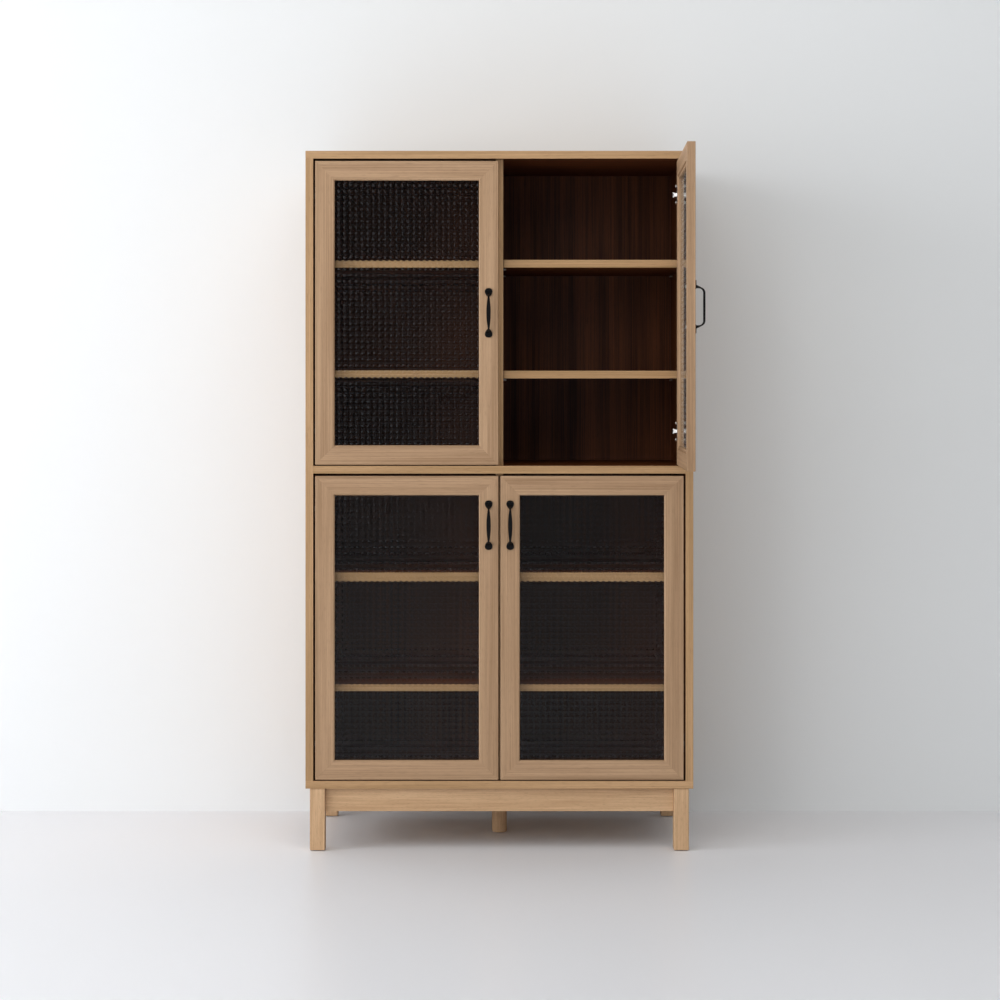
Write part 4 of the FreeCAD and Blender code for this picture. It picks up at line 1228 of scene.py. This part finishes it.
    def pane(self) -> bpy.types.Object:
        """Builds a pressed pane: one pillow, repeated over the front, with flat edges and a flat back.

        Returns:
            The pane.
        """
        edge = self.member - self.rebate + self.glass_play
        wide, high = self.width - 2 * edge, self.height - 2 * edge
        columns, rows = round(wide / self.pillow_x), round(high / self.pillow_z)
        step_x, step_z = wide / columns, high / rows
        left = self.side_gap + edge
        rises = [width * math.tan(math.radians(slope)) for width, slope in self.pillow_steps]
        bpy.ops.object.select_all(action="DESELECT")
        spot = (left + step_x / 2, self.lip + sum(rises), edge + step_z / 2)
        bpy.ops.mesh.primitive_plane_add(size=1, location=spot, rotation=(QUARTER, 0, 0))
        piece = bpy.context.object
        piece.name = "pane"
        piece.scale = (step_x, step_z, 1)
        settle(piece)
        with editing(piece):
            bpy.ops.mesh.inset(thickness=self.pillow_valley, use_even_offset=True)
            bpy.ops.mesh.bevel(offset=self.pillow_corner, segments=1, affect="VERTICES")
        choose(piece, "FACE", lambda middle, way: (middle - Vector(spot)).length < self.pillow_valley)
        with editing(piece, whole=False):
            for (width, _), rise in zip(self.pillow_steps, rises):
                bpy.ops.mesh.inset(thickness=width, use_even_offset=True)
                bpy.ops.transform.translate(value=(0, -rise, 0))
        for offset, count in (((step_x, 0, 0), columns), ((0, 0, step_z), rows)):
            array = piece.modifiers.new("repeat", "ARRAY")
            array.count = count
            array.use_relative_offset = False
            array.use_constant_offset = True
            array.constant_offset_displace = offset
            array.use_merge_vertices = True
            array.merge_threshold = TOUCHING
            only(piece)
            bpy.ops.object.modifier_apply(modifier="repeat")

        def on_rim(middle: Vector, way: Vector) -> bool:
            """Says whether an edge lies on the pane's outline."""
            in_x = min(abs(middle.x - left), abs(middle.x - left - wide))
            return min(in_x, abs(middle.z - edge), abs(middle.z - edge - high)) < TOUCHING

        choose(piece, "EDGE", on_rim)
        with editing(piece, "EDGE", whole=False):
            back = (0, self.glass - sum(rises), 0)
            bpy.ops.mesh.extrude_region_move(TRANSFORM_OT_translate={"value": back})
            bpy.ops.mesh.edge_face_add()
            bpy.ops.mesh.select_all(action="SELECT")
            bpy.ops.mesh.normals_make_consistent(inside=False)
        only(piece)
        bpy.ops.object.shade_smooth_by_angle(angle=self.pillow_smooth)
        return piece

    def handle(self) -> bpy.types.Object:
        """Builds a bow handle from the CAD model's, with round heads and soft edges.

        Returns:
            The handle, as it sits on a door, with its middle at height zero.
        """
        piece = copy_of_node("upper_left_handle")
        middle = Matrix.Translation((0, 0, self.height / 2))
        piece.matrix_world = (self.place(Level.UPPER, Side.LEFT) @ middle).inverted()
        settle(piece)
        tip, shoulder = self.foot + self.head, self.foot + self.head / 2
        for end, (drop_back, taper) in product(SIDES, self.head_tapers):
            choose(piece, "VERT", lambda place, normal: place.z * end > tip - drop_back)
            with editing(piece, "VERT", whole=False):
                bpy.ops.transform.resize(value=(taper, 1, 1))
        choose(piece, "EDGE", lambda place, way: abs(way.y) > STRAIGHT and abs(place.z) > shoulder)
        width, steps = self.head_bevel
        with editing(piece, "EDGE", whole=False):
            bpy.ops.mesh.bevel(offset=width, segments=steps)
        return round_edges(piece, self.handle_rounding, segments=3)

    def handle_height(self, level: Level, side: Side) -> float:
        """Gives how far up, as the door is built, its handle is fixed.

        Args:
            level: The door's compartment.
            side: The side that it hangs on. A right-hand door is built upside down.

        Returns:
            The height of the handle's middle.
        """
        if level is Level.UPPER:
            return self.height / 2
        return self.height - self.handle_drop if side is Side.LEFT else self.handle_drop

    def links(self, name: str) -> None:
        """Dresses a door's two hinge links, which ride on a body of their own.

        Args:
            name: The door's name, such as upper_left.
        """
        links = round_edges(copy_of_node(f"{name}_hinge_links"), self.link_rounding)
        wear(links, self.finishes.nickel)
        hand_over(links, f"{name}_links", "nickel_plated_steel", f"{name}_hinge_links")

    def build(self) -> None:
        """Builds the parts of a door once, and copies them to the four doors."""
        leaf, beads, pane, cup = self.frame(), self.beads(), self.pane(), self.cup.build()
        handle, screw = self.handle(), self.screw.build("handle_screw")
        wood, metal = self.finishes.door_oak, self.finishes.nickel
        materials = (wood, wood, self.finishes.glass, metal, self.finishes.iron, metal)
        masters = (leaf, beads, pane, cup, handle, screw)
        for master, material in zip(masters, materials):
            wear(master, material)
        handle_x = self.side_gap + self.width - self.member / 2
        for number, (level, side) in enumerate(product(Level, Side)):
            name, here = f"{level.name}_{side.name}".lower(), self.place(level, side)
            middle = self.handle_height(level, side)
            feet = self.on_back(handle_x, (middle - self.foot, middle + self.foot))
            pieces = (
                ("frame", leaf, [Matrix()], "oak_foil_board", "door_frame"),
                ("beads", beads, [Matrix()], "walnut_foil_board", "glazing_beads"),
                ("pane", pane, [Matrix()], "checker_glass", "glass"),
                ("cups", cup, self.cup_places(), "nickel_plated_steel", "hinge_cups"),
                ("screws", screw, feet, "nickel_plated_steel", "handle_screws"),
                ("bow", handle, [Matrix.Translation((0, 0, middle))], "black_iron", "handle"),
            )
            for kind, master, places, slot, node in pieces:
                copies = [copy_at(master, f"{name}_{kind}", here @ place) for place in places]
                piece = join(f"{name}_{kind}", copies) if len(copies) > 1 else copies[0]
                if master is leaf:
                    shift_grain(piece, number, self.door_step)
                hand_over(piece, f"{name}_door", slot, f"{name}_{node}")
            self.links(name)
        drop(*masters)


@dataclass
class HingeHardware:
    """What the hinges have on the case: arms, mounting plates and the plates' screws."""

    finishes: Finishes
    doors: DoorSet
    rounding: float = 0.3 * MM
    plate: float = 2.5 * MM
    wing: float = 55 * MM
    spacing: float = 32 * MM
    screw: ScrewHead = ScrewHead(radius=3.5 * MM, height=1.8 * MM, shank_radius=1.75 * MM, shank=14 * MM)

    def build(self) -> None:
        """Builds the arms and plates with soft edges, and cross-headed screws in the plates."""
        for node in ("hinge_arms", "hinge_mounting_plates"):
            piece = round_edges(copy_of_node(node), self.rounding)
            wear(piece, self.finishes.nickel)
            hand_over(piece, "carcass", "nickel_plated_steel", node)
        master = self.screw.build("plate_screw")
        insets = (self.doors.hinge_inset, self.doors.height - self.doors.hinge_inset)
        x, y = self.doors.side_x - self.plate, self.doors.front_y + self.wing
        screws = []
        for level, sign, inset, end in product(Level, SIDES, insets, SIDES):
            place = Matrix.Translation((sign * x, y, level.value + inset + end * self.spacing / 2))
            turn = Matrix.Rotation(-sign * QUARTER, 4, "Y")
            screws.append(copy_at(master, "plate_screw_copy", place @ turn))
        drop(master)
        piece = join("hinge_plate_screws_piece", screws)
        wear(piece, self.finishes.nickel)
        hand_over(piece, "carcass", "nickel_plated_steel", "hinge_plate_screws")


# The studio


@dataclass(frozen=True)
class Lamp:
    """A wide soft light, aimed at the middle of the cabinet, that is itself never seen, nor through glass."""

    name: str
    place: tuple[float, float, float]
    size: tuple[float, float]
    watts: float
    colour: str = "#FFFFFF"
    mirrored: bool = True
    aim: tuple[float, float, float] = (0, 0, 0.9)

    def build(self) -> None:
        """Adds the light."""
        data = bpy.data.lights.new(self.name, "AREA")
        data.shape = "RECTANGLE"
        data.size, data.size_y = self.size
        data.energy = self.watts
        data.color = linear(self.colour)[:3]
        lamp = bpy.data.objects.new(self.name, data)
        lamp.location = self.place
        lamp.rotation_euler = (Vector(self.aim) - Vector(self.place)).to_track_quat("-Z", "Y").to_euler()
        lamp.visible_camera = lamp.visible_transmission = False
        lamp.visible_glossy = self.mirrored
        bpy.context.collection.objects.link(lamp)


@dataclass
class Studio:
    """The room: pale floor, pale wall close behind the cabinet, soft light from the left, and the camera."""

    sheet_size: float = 40
    wall_y: float = 258 * MM
    wall_height: float = 19.99
    opening_centre: tuple[float, float] = (0.0, 892 * MM)
    opening_half: tuple[float, float] = (455 * MM, 746 * MM)
    floor_colour: str = "#F7F7FA"
    floor_roughness: float = 0.35
    floor_fade: tuple[float, float] = (2.5, 7.0)
    wall_colour: str = "#EFF1F2"
    wall_roughness: float = 0.9
    far_colour: str = "#E9E9EA"
    # Painted shade: the floor's colour in mirror images only, darker than the floor, to dim its reflection in
    # the glass.
    mirror_shade_floor_colour: str = "#9C9CA0"
    sky_colour: str = "#F4F7FA"
    sky: float = 0.37
    room: float = 0.025
    camera_place: tuple[float, float, float] = (0, -5.355, 1.077)
    sensor_mm: float = 36
    lens_mm: float = 79.6
    shift: tuple[float, float] = (0.0006, -0.113)
    lamps: tuple[Lamp, ...] = (
        Lamp("window_light", (-4.2, -5.1, 1.8), (4.4, 3.2), 88, mirrored=False),
        Lamp("ceiling_light", (0.0, -2.6, 3.8), (4.0, 4.0), 52, "#FFFDF8", mirrored=False),
        Lamp("side_light", (-4.0, -1.6, 1.6), (2.2, 2.4), 68, "#F9FBFF"),
        Lamp("window_glint", (-2.2, -5.8, 2.8), (2.2, 2.0), 12, "#F4F8FF"),
        Lamp("back_light", (2.4, 5.2, 2.4), (3.2, 3.2), 90),
    )

    def floor_material(self) -> bpy.types.Material:
        """Makes the floor's satin finish, which fades into the pale surroundings far from the cabinet.

        Returns:
            The material. Its mirror images get a painted shade, a darker grey than the floor itself, so that
            the glass stays as deep as in a real room.
        """
        material, tree, output = new_material("pale_floor")
        rays = add_node(tree, "ShaderNodeLightPath")
        bounces = {0: rays.outputs["Glossy Depth"], 1: 0.5}
        mirrored = add_node(tree, "ShaderNodeMath", bounces, operation="GREATER_THAN").outputs[0]
        # Painted shade: rays after a mirror bounce see the darker floor colour, not the floor's own.
        tones = {"Factor": mirrored, "A": linear(self.floor_colour), "B": linear(self.mirror_shade_floor_colour)}
        colour = add_node(tree, "ShaderNodeMix", tones, data_type="RGBA").outputs["Result"]
        finish = {"Base Color": colour, "Roughness": self.floor_roughness}
        satin = add_node(tree, "ShaderNodeBsdfPrincipled", finish).outputs[0]
        place = add_node(tree, "ShaderNodeTexCoord").outputs["Object"]
        distance = add_node(tree, "ShaderNodeVectorMath", {0: place}, operation="LENGTH").outputs["Value"]
        start, end = self.floor_fade
        limits = {"Value": distance, "From Min": start, "From Max": end}
        fade = add_node(tree, "ShaderNodeMapRange", limits, interpolation_type="SMOOTHSTEP").outputs[0]
        factors = {0: fade, 1: rays.outputs["Is Camera Ray"]}
        seen = add_node(tree, "ShaderNodeMath", factors, operation="MULTIPLY").outputs[0]
        pale = add_node(tree, "ShaderNodeEmission", {"Color": linear(self.far_colour)}).outputs[0]
        mix = add_node(tree, "ShaderNodeMixShader", {0: seen, 1: satin, 2: pale})
        tree.links.new(mix.outputs[0], output.inputs["Surface"])
        return material

    def wall_material(self) -> bpy.types.Material:
        """Makes the wall's matte finish, clear from behind.

        Returns:
            The material, with an opening behind the cabinet that only lamp light passes, on to its back.
        """
        material, tree, output = new_material("pale_wall")
        finish = {"Base Color": linear(self.wall_colour), "Roughness": self.wall_roughness}
        matte = add_node(tree, "ShaderNodeBsdfPrincipled", finish).outputs[0]
        clear = add_node(tree, "ShaderNodeBsdfTransparent").outputs[0]
        surface = add_node(tree, "ShaderNodeNewGeometry")
        place = add_node(tree, "ShaderNodeSeparateXYZ", {0: surface.outputs["Position"]})
        passing = carries_light(tree)
        for axis, centre, half in zip("XZ", self.opening_centre, self.opening_half):
            within = {0: place.outputs[axis], 1: centre, 2: half}
            inside = add_node(tree, "ShaderNodeMath", within, operation="COMPARE").outputs[0]
            both = {0: passing, 1: inside}
            passing = add_node(tree, "ShaderNodeMath", both, operation="MULTIPLY").outputs[0]
        either = {0: passing, 1: surface.outputs["Backfacing"]}
        through = add_node(tree, "ShaderNodeMath", either, operation="MAXIMUM").outputs[0]
        mix = add_node(tree, "ShaderNodeMixShader", {0: through, 1: matte, 2: clear})
        tree.links.new(mix.outputs[0], output.inputs["Surface"])
        return material

    def sheet(self, name: str, location: Vector, turn: float, material: bpy.types.Material) -> None:
        """Adds a large flat sheet for the floor or the wall.

        Args:
            name: The sheet's name.
            location: Its centre.
            turn: How far it is turned up from level.
            material: Its finish.
        """
        bpy.ops.object.select_all(action="DESELECT")
        bpy.ops.mesh.primitive_plane_add(size=self.sheet_size, location=location, rotation=(turn, 0, 0))
        piece = bpy.context.object
        piece.name = name
        piece.data.materials.append(material)

    def world(self) -> None:
        """Makes the surroundings: dim as a light and in mirror images, pale where the camera sees them."""
        world = bpy.data.worlds.new("studio")
        bpy.context.scene.world = world
        world.use_nodes = True
        tree = world.node_tree
        tree.nodes.clear()
        rays = add_node(tree, "ShaderNodeLightPath").outputs
        views = {0: rays["Is Camera Ray"], 1: rays["Is Transmission Ray"]}
        seen = add_node(tree, "ShaderNodeMath", views, operation="MAXIMUM").outputs[0]
        direct = {0: rays["Diffuse Depth"], 1: 0.5}
        soft = add_node(tree, "ShaderNodeMath", direct, operation="LESS_THAN").outputs[0]
        bounces = {0: rays["Glossy Depth"], 1: 0.5}
        shiny = add_node(tree, "ShaderNodeMath", bounces, operation="GREATER_THAN").outputs[0]
        first = add_node(tree, "ShaderNodeMath", {0: soft, 1: shiny}, operation="MULTIPLY").outputs[0]
        pale = add_node(tree, "ShaderNodeMath", {0: seen, 1: soft}, operation="MULTIPLY").outputs[0]
        tones = ((self.sky_colour, self.sky), (self.sky_colour, self.room), (self.far_colour, 1.0))
        sky, room, wall = (
            add_node(tree, "ShaderNodeBackground", {"Color": linear(colour), "Strength": strength}).outputs[0]
            for colour, strength in tones
        )
        outer = add_node(tree, "ShaderNodeMixShader", {0: pale, 1: sky, 2: wall}).outputs[0]
        mix = add_node(tree, "ShaderNodeMixShader", {0: first, 1: outer, 2: room}).outputs[0]
        add_node(tree, "ShaderNodeOutputWorld", {"Surface": mix})

    def camera(self) -> None:
        """Sets the camera level, square to the front, a little above the middle panel."""
        data = bpy.data.cameras.new("camera")
        data.sensor_width = self.sensor_mm
        data.lens = self.lens_mm
        data.shift_x, data.shift_y = self.shift
        camera = bpy.data.objects.new("camera", data)
        camera.location = self.camera_place
        camera.rotation_euler = (QUARTER, 0, 0)
        bpy.context.collection.objects.link(camera)
        bpy.context.scene.camera = camera

    def build(self) -> None:
        """Builds the room."""
        self.sheet("floor", Vector((0, 0, 0)), 0, self.floor_material())
        self.sheet("wall", Vector((0, self.wall_y, self.wall_height)), QUARTER, self.wall_material())
        for lamp in self.lamps:
            lamp.build()
        self.world()
        self.camera()
        bpy.context.scene.view_settings.view_transform = "Standard"


def main() -> None:
    """Builds the cabinet in its order."""
    logging.basicConfig(level=logging.INFO, format="%(name)s: %(message)s")
    finishes = Finishes()
    doors = DoorSet(finishes)
    hinges = HingeHardware(finishes, doors)
    for part in (Case(finishes), Shelving(finishes), LegFrame(finishes), doors, hinges, Studio()):
        part.build()


if __name__ == "__main__":
    main()
